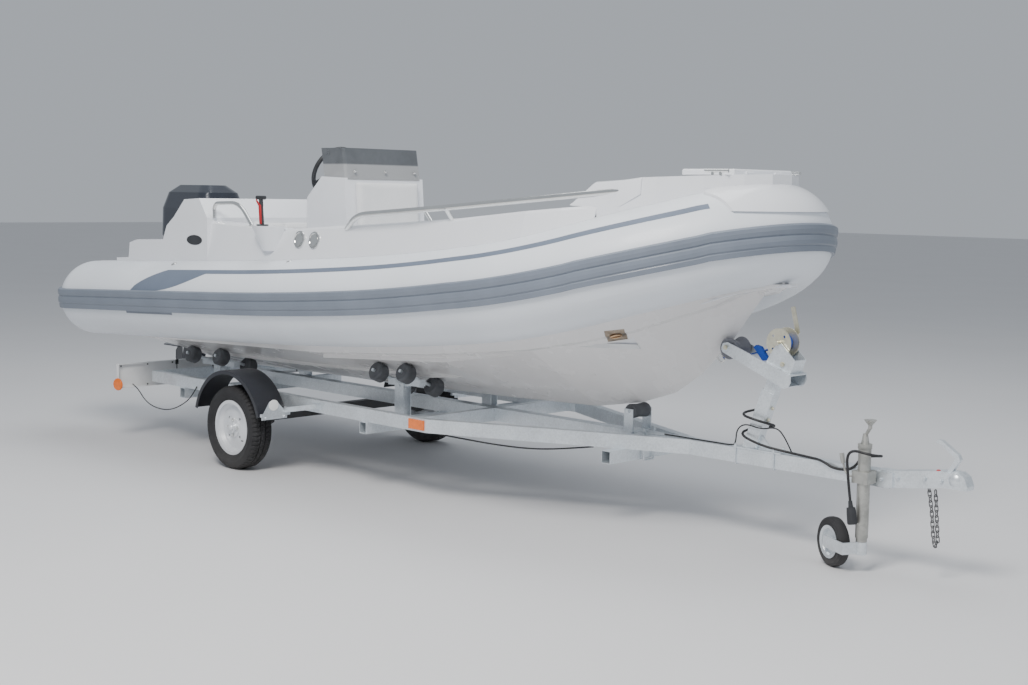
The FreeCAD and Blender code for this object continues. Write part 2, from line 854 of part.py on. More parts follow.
# Axle, wheels and mudguards

axle_parts = [box(120, 180, -655, 655, 310, 370)]
for side in SIDES:
    arm = prism_y([(-40, 235), (40, 225), (190, 300), (190, 375), (110, 380), (-30, 300)],
                  min(side * 655, side * 690), max(side * 655, side * 690))
    stub = rod((0, side * 650, axle_z), (0, side * 745, axle_z), 18)
    seat = box(100, 200, min(side * 597, side * 647), max(side * 597, side * 647), 370, 408)
    axle_parts += [arm, stub, seat]
save("axle", joined(axle_parts))

half_width = tyre_width / 2
tyre_profile = [
    (172.6, -57), (182, -64), (214, -half_width), (238, -half_width + 1), (253, -65), (261, -52),
    (261, 52), (253, 65), (238, half_width - 1), (214, half_width), (182, 64), (172.6, 57),
    (157.5, 57), (157.5, 45), (190, 52), (214, 64), (240, 62), (247, 50),
    (247, -50), (240, -62), (214, -64), (190, -52), (157.5, -45), (157.5, -57),
]
rim_profile = [
    (172, -61), (172, -57.4), (156.6, -57.4), (156.6, -40), (140, -22), (140, 22), (156.6, 40),
    (156.6, 57.4), (172, 57.4), (172, 61), (152, 61), (152, 42), (135, 24), (100, 30), (62, 38),
    (62, 44), (34, 44), (34, 58), (19, 58), (19, 62), (0, 62), (0, 50), (18.4, 50), (18.4, -80),
    (34, -80), (50, -60), (50, 20), (62, 30), (98, 22), (132, 16), (136, 12), (136, -24), (152, -42),
    (152, -61),
]
for side, word in [(-1, "starboard"), (1, "port")]:
    centre = (0, side * wheel_y, axle_z)
    save("tyre_" + word, turned(tyre_profile, centre, (0, side, 0)))
    rim = turned(rim_profile, centre, (0, side, 0))
    for number in range(4):
        angle = math.radians(45 + 90 * number)
        x = 80 * math.cos(angle)
        z = axle_z + 80 * math.sin(angle)
        hole = rod((x, side * (wheel_y - 30), z), (x, side * (wheel_y + 90), z), 9)
        rim = rim.cut(hole)
    save("rim_" + word, rim)

guards = []
for side in SIDES:
    a = math.radians(17)
    ring = [(356, -109), (356, 91), (336, 91), (336, 95), (360, 95), (360, -109)]
    face = closed_face([V(r * math.cos(a), side * (wheel_y + h), axle_z + r * math.sin(a)) for r, h in ring])
    guard = face.revolve(V(0, 0, axle_z), V(0, 1, 0), -148)
    guards.append(guard)
save("mudguards", Part.Compound(guards))


def guard_plate(side):
    """The triangular plate that carries the outer reflector."""
    return [(side * 700, 354), (side * 884, 354), (side * 884, 372), (side * 826, 462), (side * 800, 470),
            (side * 774, 462), (side * 700, 380)]


guard_brackets = []
for side in SIDES:
    low, high = min(side * 647, side * 676), max(side * 647, side * 676)
    edge0, edge1 = min(side * 676, side * 886), max(side * 676, side * 886)
    guard_brackets.append(joined([
        box(596, 646, low, high, 432, 462),
        beam((621, side * 665, 447), (362, side * 705, 400), 30, 30, 0),
        prism_x(guard_plate(side), 374, 382),
        box(362, 382, edge0, edge1, 372, 390),
    ]))
    web = prism_x([(side * 647, 430), (side * 684, 430), (side * 684, 640), (side * 679, 640),
                   (side * 679, 470), (side * 647, 470)], -60, 60)
    under_guard = Part.makeCylinder(355.7, 1400, V(0, -700, axle_z), V(0, 1, 0))
    guard_brackets.append(web.common(under_guard))
save("mudguard_brackets", Part.Compound(guard_brackets))


# Roller cradles

roller_radius = 56.0
roller_length = 78.0
# columns: aft roller x, fore roller x, stand x, stand foot z
cradle_rows = [(-1010, -670, -840), (980, 1225, 1070)]
rollers = []
cradles = []
for aft_x, fore_x, stand_x in cradle_rows:
    for side in SIDES:
        ends = []
        for x in (aft_x, fore_x):
            slope = math.atan2(hull_z(x, 400) - hull_z(x, 300), 100)
            axis = V(0, side * math.cos(slope), math.sin(slope))
            drop = (roller_radius + curved_gap) / math.cos(slope)
            spots = []
            for y in (250, 470):
                centre = V(x, side * y, hull_z(x, y) - drop - 1.5)
                spots.append(centre)
                half = roller_length / 2
                body = turned([(10.5, -half), (roller_radius - 10, -half), (roller_radius, -half + 12),
                               (roller_radius, half - 12), (roller_radius - 10, half), (10.5, half)],
                              (centre.x, centre.y, centre.z), (axis.x, axis.y, axis.z))
                rollers.append(body)
            first = spots[0] - axis * 55
            last = spots[1] + axis * 55
            ends.append((spots[0] + spots[1]) * 0.5)
            cradles_rod = Part.makeCylinder(10, (last - first).Length, first, last - first)
            ends[-1] = (ends[-1], cradles_rod)
        (low_point, low_rod), (high_point, high_rod) = ends
        down = V(0, 0, -14)
        bar = beam((low_point.x - 20, low_point.y, low_point.z - 14),
                   (high_point.x + 20, high_point.y, high_point.z - 14), 44, 40, 0)
        top_z = (low_point.z + high_point.z) / 2 - 20
        y0, y1 = low_point.y - 30, low_point.y + 30
        stand = box(stand_x - 40, stand_x + 40, y0, y0 + 6, frame_low, top_z)
        stand2 = box(stand_x - 40, stand_x + 40, y1 - 6, y1, frame_low, top_z)
        foot = box(stand_x - 40, stand_x + 40, y0, y1, frame_low, frame_low + 6)
        pin = rod((stand_x, y0 - 6, top_z - 22), (stand_x, y1 + 6, top_z - 22), 12)
        cradles.append(joined([low_rod, high_rod, bar, stand, stand2, foot, pin]))

keel_z = hull_z(2590, 0) - 40 - 1.5
keel_body = turned([(9, -70), (34, -70), (40, -58), (36, 0), (40, 58), (34, 70), (9, 70)],
                   (2590, 0, keel_z), (0, 1, 0))
rollers.append(keel_body)
save("rollers", Part.Compound(rollers))
keel_holder = joined([
    box(2560, 2620, -80, -74, frame_high + 6, keel_z + 14),
    box(2560, 2620, 74, 80, frame_high + 6, keel_z + 14),
    box(2560, 2620, -80, 80, frame_high, frame_high + 6),
    rod((2590, -88, keel_z), (2590, 88, keel_z), 8.6),
])
cradles.append(keel_holder)
save("roller_cradles", Part.Compound(cradles))


# Winch post, bow roller and winch

post = joined([
    beam(post_foot, (post_top[0] + 14, 0, post_top[2] + 36), 52, 64, frame_wall),
    beam((post_foot[0], 0, post_foot[2]), (post_top[0] - 23, 0, post_top[2] - 52), 60, 72, 4),
])
post = post.cut(box(3000, 4000, -200, 200, 0, frame_high))
foot_plate = box(3258, 3545, -44, 44, frame_high, frame_high + 6)
gusset = prism_y([(3372, frame_high + 6), (3470, frame_high + 6), (3400, 566)], -4, 4)
roller_half = 62.0
arm_in, arm_out = roller_half + 4, roller_half + 10
arms = []
for side in SIDES:
    y0, y1 = min(side * arm_in, side * arm_out), max(side * arm_in, side * arm_out)
    arms.append(prism_y([(3188, 990), (3196, 1010), (3225, 1017), (3606, 884), (3607, 849), (3590, 822),
                         (3567, 817), (3197, 964), (3188, 975)], y0, y1))
arms.append(prism_y([(3440, 942), (3606, 884), (3604, 879), (3438, 937)], -arm_out, arm_out))
arms.append(prism_y([(3405, 882), (3567, 818), (3569, 823), (3407, 887)], -arm_out, arm_out))
frame_in, frame_out = 44.0, 49.0
winch_side = [(3445, 936), (3503, 1028), (3532, 1034), (3615, 954), (3588, 884)]
for side in SIDES:
    y0, y1 = min(side * frame_in, side * frame_out), max(side * frame_in, side * frame_out)
    arms.append(prism_y(winch_side, y0, y1))
arms.append(prism_y([(3615, 954), (3589, 890), (3584, 892), (3610, 956)], -frame_out, frame_out))
arms.append(rod((3545, -frame_out - 5, 933), (3545, frame_out + 5, 933), 6))
post_pin = rod((bow_roller[0], -arm_out - 6, bow_roller[2]), (bow_roller[0], arm_out + 6, bow_roller[2]), 10)
post = joined([post, foot_plate, gusset] + arms + [post_pin])
post = post.cut(rod((drum_x, -60, drum_z), (drum_x, 60, drum_z), 12.4))
save("winch_post", post)

bow_v = turned([(10.5, -roller_half), (50, -roller_half), (55, -roller_half + 8), (38, -4), (38, 4),
                (55, roller_half - 8), (50, roller_half), (10.5, roller_half)],
               bow_roller, (0, 1, 0))
save("bow_roller", bow_v)

drum = (drum_x, drum_z)
barrel_radius = 34.0
gear_teeth = 36
gear = rod((drum[0], 31, drum[1]), (drum[0], 37, drum[1]), 74)
for number in range(gear_teeth):
    angle = 2 * math.pi * number / gear_teeth
    spot = (drum[0] + 76 * math.cos(angle), drum[1] + 76 * math.sin(angle))
    gear = gear.cut(rod((spot[0], 30, spot[1]), (spot[0], 38, spot[1]), 3.2))
near_disc = rod((drum[0], -38, drum[1]), (drum[0], -35, drum[1]), 72)
for number in range(4):
    angle = math.radians(45 + 90 * number)
    spot = (drum[0] + 46 * math.cos(angle), drum[1] + 46 * math.sin(angle))
    near_disc = near_disc.cut(rod((spot[0], -39, spot[1]), (spot[0], -34, spot[1]), 7))
winch = joined([
    near_disc,
    gear,
    rod((drum[0], -62, drum[1]), (drum[0], 70, drum[1]), 12),
    rod((drum[0], -36, drum[1]), (drum[0], 36, drum[1]), barrel_radius),
    prism_y([(3498, 1018), (3520, 1022), (3562, 1085), (3528, 1212), (3505, 1206), (3536, 1090)], 60, 66),
])
save("winch", winch)

strap_points = [(3160, 929), (3226, 932), (3404, 982), (3482, 1016), (3480, 1020), (3402, 986),
                (3225, 935.5), (3160, 932.5)]
barrel_space = rod((drum_x, -40, drum_z), (drum_x, 40, drum_z), barrel_radius + curved_gap)
save("winch_strap", prism_y(strap_points, -20, 20).cut(barrel_space))


# Jockey wheel

e_dir = V(math.cos(math.radians(jockey_turn)), math.sin(math.radians(jockey_turn)), 0)
n_dir = V(-e_dir.y, e_dir.x, 0)
jockey_foot = V(jockey_x, jockey_y, 0)


def jockey_point(e, n, z):
    return jockey_foot + e_dir * e + n_dir * n + V(0, 0, z)


tube_low, tube_top = 168.0, 594.0
leg_low = 150.0
clamp = joined([
    box(jockey_x - 42, jockey_x + 42, jockey_y - 38, jockey_y + 38, 428, 484),
    box(jockey_x - 30, jockey_x + 30, jockey_y, -drawbar_half, 430, 482),
    round_bar([(jockey_x - 38, jockey_y + 24, 442), (jockey_x - 110, jockey_y + 24, 445),
               (jockey_x - 130, jockey_y + 24, 505)], 5),
    rod((jockey_x - 128, jockey_y + 24, 500), (jockey_x - 139, jockey_y + 24, 547), 11),
])
outer_tube = Part.makeCylinder(30, tube_top - tube_low, V(jockey_x, jockey_y, tube_low))
outer_tube = joined([outer_tube, clamp])
outer_tube = outer_tube.cut(Part.makeCylinder(26.5, tube_top - tube_low - 4, V(jockey_x, jockey_y, tube_low - 1)))
head = joined([
    Part.makeCylinder(33, 22, V(jockey_x, jockey_y, 590)),
    Part.makeCone(20, 11, 50, V(jockey_x, jockey_y, 610)),
    rod((jockey_x, jockey_y, 650), (jockey_x + 34, jockey_y - 18, 692), 8),
    Part.makeCylinder(9, 24, V(jockey_x + 34, jockey_y - 18, 688)),
    Part.makeCone(11, 30, 24, V(jockey_x + 34, jockey_y - 18, 706)),
])
save("jockey_tube", joined([outer_tube, head]))

inner_tube = Part.makeCylinder(26, 320, V(jockey_x, jockey_y, leg_low))
inner_tube = inner_tube.cut(Part.makeCylinder(22, 290, V(jockey_x, jockey_y, leg_low + 44)))
pivot = Part.makeCylinder(10, leg_low - 92, V(jockey_x, jockey_y, 92))
save("jockey_leg", joined([inner_tube, pivot]))

near = -(jockey_side + 30 + 4)


def plate_between(points, n0, n1):
    face = closed_face([jockey_point(e, n0, z) for e, z in points])
    return face.extrude(n_dir * (n1 - n0))


bar_low, bar_high = 91.0, 147.0
fork = joined([
    plate_between([(-178, 107), (-168, bar_low), (4, bar_low), (4, bar_high), (-168, bar_high), (-178, 131)],
                  near - 6, near),
    plate_between([(-4, bar_low), (4, bar_low), (4, bar_high), (-4, bar_high)], near - 6, -10),
    Part.makeCylinder(27, leg_low - 1 - 88, V(jockey_x, jockey_y, 88)),
    Part.makeCylinder(8, 72, jockey_point(-jockey_trail, near - 3, jockey_radius), n_dir),
])
fork = fork.cut(Part.makeCylinder(10.4, 80, V(jockey_x, jockey_y, 80)))
save("jockey_fork", fork)

jockey_centre = jockey_point(-jockey_trail, -jockey_side, jockey_radius)
jockey_rim_radius = 76.0
jockey_tyre = [
    (jockey_rim_radius + 0.9, -25), (104, -29), (115, -22), (jockey_radius, -8),
    (jockey_radius, 8), (115, 22), (104, 29), (jockey_rim_radius + 0.9, 25),
]
jockey_disc = [
    (8.3, -32), (22, -32), (24, -16), (58, -12), (64, -25.4), (79, -29.5), (79, -27), (jockey_rim_radius, -25.4),
    (jockey_rim_radius, 25.4), (79, 27), (79, 29.5), (64, 25.4), (58, 12), (24, 16), (22, 32), (8.3, 32),
]
tyre = turned(jockey_tyre, tuple(jockey_centre), tuple(n_dir))
disc = turned(jockey_disc, tuple(jockey_centre), tuple(n_dir))
save("jockey_wheel", tyre.cut(disc))
save("jockey_rim", disc)
print("jockey wheel centre", jockey_centre)


# Coupling

body = prism_y([(4088, 484.2), (4088, 490), (4153, 490), (4263, 506), (4357, 520), (4400, 526), (4456, 522),
                (4490, 530), (4520, 512), (4537, 470), (4534, 452), (4420, 452), (4339, 437), (4156, 412),
                (4150.3, 412), (4150.3, 484.2)], -33, 33)
dome_part = Part.makeSphere(44, V(ball_x, 0, 492)).common(box(4400, 4540, -50, 50, 452, 540))
side_plates = []
for side in SIDES:
    y0, y1 = min(side * 38.2, side * 44), max(side * 38.2, side * 44)
    side_plates.append(box(4081, 4160, y0, y1, 412, 482))
    y0, y1 = min(side * 30, side * 44), max(side * 30, side * 44)
    side_plates.append(box(4150.3, 4168, y0, y1, 414, 482))
cross_bolts = [rod((x, -50, z), (x, 50, z), 7) for x, z in [(4111, 447)]]
cross_bolts += [rod((x, -38, z), (x, 38, z), 7) for x, z in [(4190, 462), (4327, 479), (4410, 481)]]
body = joined([body, dome_part] + side_plates)
body = body.cut(Part.makeCylinder(25.5, 38, V(ball_x, 0, 450)))
body = body.cut(Part.makeSphere(25.5, V(ball_x, 0, 488)))
hollow = prism_y([(4170, 400), (4200, 476), (4400, 496), (4430, 496), (4430, 400)], -28, 28)
body = body.cut(hollow)
save("coupling", joined([body] + [bolt.cut(box(4100, 4125, -38.2, 38.2, 400, 490)) for bolt in cross_bolts]))

handle_line = [(4424, 521), (4444, 518), (4486, 584), (4476, 606), (4392, 662), (4372, 664), (4364, 650),
               (4384, 646), (4456, 594), (4460, 584)]
handle = prism_y(handle_line, -13, 13).cut(prism_y([(4432, 545), (4462, 585), (4388, 636), (4380, 600)], -9, 9))
handle = handle.cut(body)
save("coupling_handle", max(handle.Solids, key=lambda piece: piece.Volume))
print("arcs of the cords")


# Cords and cables

drawbar_lead_points = [
    (3442, 36.8, 697), (3316, 66, 676), (3306, -70, 662), (3440, -74, 640), (3466, 58, 604), (3316, 64, 584),
    (3298, -64, 562), (3440, -66, 520), (3560, -22, 499), (3690, -20, 491), (3790, -54, 493), (3860, -50, 458),
    (3960, -52, 470), (4000, -34, 540), (4124, -36, 556), (4132, -162, 574), (3992, -160, 590),
    (3996, -150, 460), (4016, -152, 345),
]
lead = round_bar(drawbar_lead_points, 6.5, 0.45, "drawbar_lead")
save("drawbar_lead", lead)
plug_axis = (V(*drawbar_lead_points[-1]) - V(*drawbar_lead_points[-2])).normalize()
plug_top = V(*drawbar_lead_points[-1]) + plug_axis * curved_gap
plug_rows = [(0, 9), (30, 12), (31, 20), (60, 23), (104, 24), (110, 20)]
plug_place = FreeCAD.Placement(plug_top, FreeCAD.Rotation(UP, plug_axis))
plug_ring = [V(0, 0, 0)] + [V(r, 0, a) for a, r in plug_rows] + [V(0, 0, 110)]
plug = closed_face(plug_ring).revolve(V(0, 0, 0), UP, 360)
plug.Placement = plug_place
save("lead_plug", plug)

thin_cable_points = [
    (2790, -14, 488), (2960, -16, 488), (3120, -14, 488), (3230, -16, 488), (3262, -28, 502),
    (3278, -44, 580), (3330, -46, 615), (3430, -46, 596), (3520, -44, 620), (3552, -10, 560), (3574, 14, 489),
]
save("thin_cable", round_bar(thin_cable_points, 3.5, 0.45, "thin_cable"))

board_lead_points = [
    (-1321, -758, 392), (-1270, -752, 372), (-1190, -734, 280), (-1080, -712, 244), (-950, -690, 246),
    (-820, -668, 300), (-730, -655, 370), (-690, -650.9, 430),
]
save("board_lead", round_bar(board_lead_points, 3.5, 0.45, "board_lead"))

rail_cable_points = [
    (1650, -596, 403.3), (1790, -534, 388), (1960, -459, 370), (2160, -371, 362), (2340, -291, 380),
    (2480, -229, 403.3),
]
save("rail_cable", round_bar(rail_cable_points, 4.5, 0.45, "rail_cable"))


# Light board

board = box(-1350, -1322, -865, 865, 369, 536)
board = board.cut(box(-1345, -1321, -860, 860, 374, 531))
save("light_board", board)
lamps = []
for side in SIDES:
    lamps.append(box(-1378, -1350, side * 690 - 150, side * 690 + 150, 395, 510))
save("rear_lamps", Part.Compound(lamps))
markers = []
for side in SIDES:
    y0, y1 = min(side * 647, side * 655), max(side * 647, side * 655)
    markers.append(box(1460, 1586, y0, y1, 420, 476))
save("side_markers", Part.Compound(markers))
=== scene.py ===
import math
import bmesh
import bpy
from mathutils import Matrix, Vector


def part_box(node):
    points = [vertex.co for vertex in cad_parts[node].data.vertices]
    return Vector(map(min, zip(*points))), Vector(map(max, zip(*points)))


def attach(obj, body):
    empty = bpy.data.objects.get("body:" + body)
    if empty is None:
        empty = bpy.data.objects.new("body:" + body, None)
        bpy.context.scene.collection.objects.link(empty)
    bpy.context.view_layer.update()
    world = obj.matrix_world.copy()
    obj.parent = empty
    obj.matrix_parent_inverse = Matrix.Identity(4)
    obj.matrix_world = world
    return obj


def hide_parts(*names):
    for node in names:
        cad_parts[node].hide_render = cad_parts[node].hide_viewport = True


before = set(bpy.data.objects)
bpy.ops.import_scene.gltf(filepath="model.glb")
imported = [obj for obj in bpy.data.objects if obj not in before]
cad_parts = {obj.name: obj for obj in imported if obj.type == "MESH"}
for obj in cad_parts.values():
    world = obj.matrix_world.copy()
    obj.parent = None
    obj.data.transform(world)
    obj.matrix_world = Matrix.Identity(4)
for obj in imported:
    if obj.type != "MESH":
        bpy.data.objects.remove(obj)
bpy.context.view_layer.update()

# Places are given in trailer millimetres, as in the part's source: x forward from the axle, y to port,
# z up from the ground. at() turns them into the frame's metres; other sizes carry MM themselves.
ROOT = "boat_and_trailer"
MIDDLE = 1.255  # from the axle forward to the frame's origin, in metres
MM = 0.001
ALONG, ACROSS, UP = Vector((1, 0, 0)), Vector((0, 1, 0)), Vector((0, 0, 1))
SIDES = (-1, 1)
SIDE_WORDS = ((-1, "starboard"), (1, "port"))


def at(x, y, z):
    """A point given in trailer millimetres, in the frame's metres."""
    return Vector((x / 1000 - MIDDLE, y / 1000, z / 1000))


# Materials

FACTOR, COLOUR_A, COLOUR_B, MIXED = 0, 6, 7, 2  # sockets of a Mix node that mixes colours


def new_material(name):
    m = bpy.data.materials.new(name)
    m.use_nodes = True
    tree = m.node_tree
    return m, tree, tree.nodes["Principled BSDF"]


def node(tree, kind, **settings):
    """A new node; a setting goes to the input of its name, or else to the property."""
    n = tree.nodes.new(kind)
    for key, value in settings.items():
        if key in n.inputs:
            n.inputs[key].default_value = value
        else:
            setattr(n, key, value)
    return n


def texture(tree, place, kind, output="Fac", **settings):
    n = node(tree, "ShaderNodeTex" + kind, **settings)
    tree.links.new(place, n.inputs["Vector"])
    return n.outputs[output]


def ramp(tree, value, dark, light, start=0.0, end=1.0):
    """Turn a value into a colour between two tones."""
    n = node(tree, "ShaderNodeValToRGB")
    first, last = n.color_ramp.elements
    first.position, last.position = start, end
    first.color, last.color = (*dark, 1), (*light, 1)
    tree.links.new(value, n.inputs["Fac"])
    return n.outputs["Color"]


def spread(tree, value, start, end, low=0.0, high=1.0):
    """Map the span low to high of a value on to the span start to end."""
    n = node(tree, "ShaderNodeMapRange")
    for key, number in (("From Min", low), ("From Max", high), ("To Min", start), ("To Max", end)):
        n.inputs[key].default_value = number
    tree.links.new(value, n.inputs["Value"])
    return n.outputs["Result"]


def blend(tree, factor, first, second, **settings):
    """Mix two colours; what isn't another node's output is a plain value."""
    n = node(tree, "ShaderNodeMix", data_type="RGBA", **settings)
    for socket, value in ((FACTOR, factor), (COLOUR_A, first), (COLOUR_B, second)):
        if isinstance(value, bpy.types.NodeSocket):
            tree.links.new(value, n.inputs[socket])
        else:
            n.inputs[socket].default_value = value
    return n.outputs[MIXED]


def height_over(tree, place):
    """An object coordinate's height over the ground."""
    n = node(tree, "ShaderNodeSeparateXYZ")
    tree.links.new(place, n.inputs["Vector"])
    return n.outputs["Z"]


def relief(tree, place, kind, fine):
    """What the bump reads: a crossed weave, leather cells or plain grain."""
    if kind == "weave":
        both = node(tree, "ShaderNodeMath", operation="MAXIMUM")
        for number, direction in enumerate("XZ"):
            wave = texture(tree, place, "Wave", Scale=fine, Distortion=0.4, bands_direction=direction)
            tree.links.new(wave, both.inputs[number])
        return both.outputs["Value"]
    if kind == "leather":
        return texture(tree, place, "Voronoi", "Distance", Scale=fine, feature="DISTANCE_TO_EDGE")
    return texture(tree, place, "Noise", Scale=fine, Detail=3.0)


def surface(name, colour, rough, metal=0.0, coat=0.0, tint=0.06, patch=3.0, grain=0.15, fine=300.0,
            kind="noise", wear=0.1, depth=0.001, speck=None, dust_and_shade=None, dust_and_shade_top=0.0, dust_and_shade_share=0.6):
    """Colour patches, roughness patches and a fine bump, all from object coordinates.

    speck holds the scale and the share of a zinc pattern; a low colour fades out from the ground up to a
    given height: real dust on the trailer's parts, painted shade on the hull's bottom.
    """
    m, tree, shader = new_material(name)
    link = tree.links.new
    place = node(tree, "ShaderNodeTexCoord").outputs["Object"]
    patches = texture(tree, place, "Noise", Scale=patch, Detail=6.0, Roughness=0.6)
    dark = [c * (1 - tint) for c in colour]
    light = [min(1.0, c * (1 + tint)) for c in colour]
    out = ramp(tree, patches, dark, light, 0.35, 0.65)
    if speck:
        scale, share = speck
        grey = node(tree, "ShaderNodeRGBToBW")
        link(texture(tree, place, "Voronoi", "Color", Scale=scale), grey.inputs["Color"])
        out = blend(tree, share, out, grey.outputs["Val"], blend_type="MULTIPLY")
    # a colour that fades out from the ground upward: real dust on the trailer's parts, painted shade on the
    # hull
    if dust_and_shade:
        reach = spread(tree, height_over(tree, place), dust_and_shade_share, 0.0, 0.0, dust_and_shade_top)
        amount = node(tree, "ShaderNodeMath", operation="MULTIPLY")
        link(reach, amount.inputs[0])
        link(texture(tree, place, "Noise", Scale=22.0, Detail=8.0, Roughness=0.7), amount.inputs[1])
        out = blend(tree, amount.outputs["Value"], out, (*dust_and_shade, 1))
    link(out, shader.inputs["Base Color"])
    smear = texture(tree, place, "Noise", Scale=patch * 4, Detail=5.0)
    link(spread(tree, smear, max(0.02, rough - wear), min(1.0, rough + wear)), shader.inputs["Roughness"])
    bump = node(tree, "ShaderNodeBump", Strength=grain, Distance=depth)
    link(relief(tree, place, kind, fine), bump.inputs["Height"])
    link(bump.outputs["Normal"], shader.inputs["Normal"])
    for key, value in (("Metallic", metal), ("Coat Weight", coat), ("Coat Roughness", 0.08)):
        shader.inputs[key].default_value = value
    return m


GREY_DUST = (0.36, 0.34, 0.31)
# painted shade: the hull's gelcoat turns darker and beige towards its bottom
HULL_BOTTOM_SHADE = (0.62, 0.58, 0.52)

# Boat
TUBE = surface("tube_fabric", (0.80, 0.84, 0.89), 0.42, tint=0.03, patch=1.4, grain=0.10, fine=420,
               kind="weave", wear=0.08, coat=0.08, depth=0.0006)
STRAKE = surface("strake_rubber", (0.185, 0.215, 0.265), 0.42, tint=0.06, patch=4, grain=0.12, fine=500,
                 coat=0.1)
STRIPE = surface("stripe_grey", (0.15, 0.185, 0.25), 0.42, tint=0.05, patch=5, grain=0.1, fine=420,
                 kind="weave", depth=0.0006)
GEL = surface("white_gelcoat", (0.84, 0.86, 0.90), 0.22, tint=0.025, patch=1.1, grain=0.04, fine=90,
              coat=0.5, wear=0.06)
# The hull's gelcoat, with painted shade darkening its bottom
HULL = surface("hull_gelcoat", (0.80, 0.79, 0.79), 0.26, tint=0.035, patch=1.3, grain=0.05, fine=70,
               coat=0.45, wear=0.08, dust_and_shade=HULL_BOTTOM_SHADE, dust_and_shade_top=1.0)
FLOOR_GEL = surface("floor_nonslip", (0.78, 0.79, 0.80), 0.55, tint=0.05, patch=3, grain=0.6, fine=260,
                    kind="leather", depth=0.0015)
VINYL = surface("white_vinyl", (0.82, 0.83, 0.84), 0.45, tint=0.03, patch=4, grain=0.25, fine=700,
                kind="leather", depth=0.0006)
PIPING = surface("vinyl_piping", (0.70, 0.72, 0.74), 0.45, tint=0.04, patch=9, grain=0.2, fine=600)
STEEL = surface("polished_stainless", (0.82, 0.82, 0.80), 0.14, metal=1.0, tint=0.04, patch=8, grain=0.03,
                fine=600, wear=0.06)
BRASS = surface("bronze_eye", (0.62, 0.42, 0.26), 0.25, metal=1.0, tint=0.15, patch=18, grain=0.1, fine=300)
DARK_PLATE = surface("recess_steel", (0.30, 0.25, 0.20), 0.3, metal=1.0, tint=0.25, patch=25, grain=0.1,
                     fine=300)
BLACK = surface("black_plastic", (0.028, 0.03, 0.034), 0.5, tint=0.25, patch=6, grain=0.35, fine=520,
                kind="leather", depth=0.0005)
RED = surface("red_plastic", (0.45, 0.015, 0.02), 0.35, tint=0.12, patch=12, grain=0.2, fine=300)

# Motor
MOTOR = surface("motor_paint", (0.025, 0.03, 0.042), 0.3, metal=0.3, tint=0.15, patch=6, grain=0.05,
                fine=260, coat=0.4)
COWL = surface("cowl_paint", (0.022, 0.028, 0.042), 0.2, metal=0.2, tint=0.1, patch=3, grain=0.02, fine=120,
               coat=0.8)
ENGINE = surface("cast_engine", (0.25, 0.25, 0.26), 0.55, metal=0.6, tint=0.15, patch=12, grain=0.5,
                 fine=160)

# Trailer
ZINC = surface("galvanised_steel", (0.80, 0.85, 0.89), 0.36, metal=0.7, tint=0.07, patch=7, grain=0.10,
               fine=160, wear=0.12, speck=(120.0, 0.16), dust_and_shade=GREY_DUST, dust_and_shade_top=0.3, dust_and_shade_share=0.3)
DULL_ZINC = surface("dull_zinc", (0.50, 0.50, 0.47), 0.45, metal=0.8, tint=0.12, patch=9, grain=0.15,
                    fine=220, wear=0.12, speck=(60.0, 0.22), dust_and_shade=GREY_DUST, dust_and_shade_top=0.3, dust_and_shade_share=0.3)
YELLOW_ZINC = surface("plated_steel", (0.80, 0.77, 0.62), 0.32, metal=0.85, tint=0.08, patch=12, grain=0.08,
                      fine=300, wear=0.1, speck=(70.0, 0.15))
CHAIN = surface("chain_steel", (0.16, 0.16, 0.165), 0.5, metal=0.8, tint=0.15, patch=14, grain=0.2, fine=260)
BLACK_STEEL = surface("black_paint", (0.03, 0.031, 0.034), 0.45, tint=0.2, patch=8, grain=0.15, fine=260,
                      dust_and_shade=GREY_DUST, dust_and_shade_top=0.45, dust_and_shade_share=0.2)
GUARD = surface("guard_plastic", (0.018, 0.02, 0.027), 0.38, tint=0.2, patch=5, grain=0.25, fine=420,
                dust_and_shade=GREY_DUST, dust_and_shade_top=0.6, dust_and_shade_share=0.12)
RIM = surface("silver_rim", (0.78, 0.80, 0.83), 0.33, metal=0.35, tint=0.04, patch=9, grain=0.06, fine=300,
              coat=0.3, dust_and_shade=GREY_DUST, dust_and_shade_top=0.25)
TYRE = surface("tyre_rubber", (0.022, 0.022, 0.024), 0.75, tint=0.2, patch=14, grain=0.3, fine=380,
               dust_and_shade=GREY_DUST, dust_and_shade_top=0.2, dust_and_shade_share=0.16)
RUBBER = surface("roller_rubber", (0.085, 0.09, 0.10), 0.7, tint=0.25, patch=14, grain=0.35, fine=300,
                 dust_and_shade=GREY_DUST, dust_and_shade_top=0.9, dust_and_shade_share=0.25)
GREY_RUBBER = surface("grey_rubber", (0.17, 0.175, 0.20), 0.6, tint=0.12, patch=14, grain=0.3, fine=300)
BOARD = surface("board_white", (0.82, 0.83, 0.84), 0.42, tint=0.04, patch=5, grain=0.08, fine=200,
                dust_and_shade=GREY_DUST, dust_and_shade_top=0.7)
RED_LENS = surface("red_lens", (0.55, 0.02, 0.015), 0.15, tint=0.1, patch=30, grain=0.3, fine=160, coat=0.6)
AMBER = surface("amber_lens", (0.85, 0.17, 0.008), 0.18, tint=0.12, patch=30, grain=0.3, fine=160, coat=0.6)
WHITE_LENS = surface("white_lens", (0.85, 0.86, 0.85), 0.2, tint=0.06, patch=30, grain=0.3, fine=180,
                     coat=0.5)
BLUE = surface("blue_webbing", (0.01, 0.07, 0.42), 0.8, tint=0.15, patch=20, grain=0.6, fine=300,
               kind="weave")
CABLE = surface("cable_black", (0.018, 0.018, 0.02), 0.5, tint=0.25, patch=20, grain=0.2, fine=400)

SCREEN_FOOT = (1.902, 1.910)  # heights between which the screen's pale foot fades out


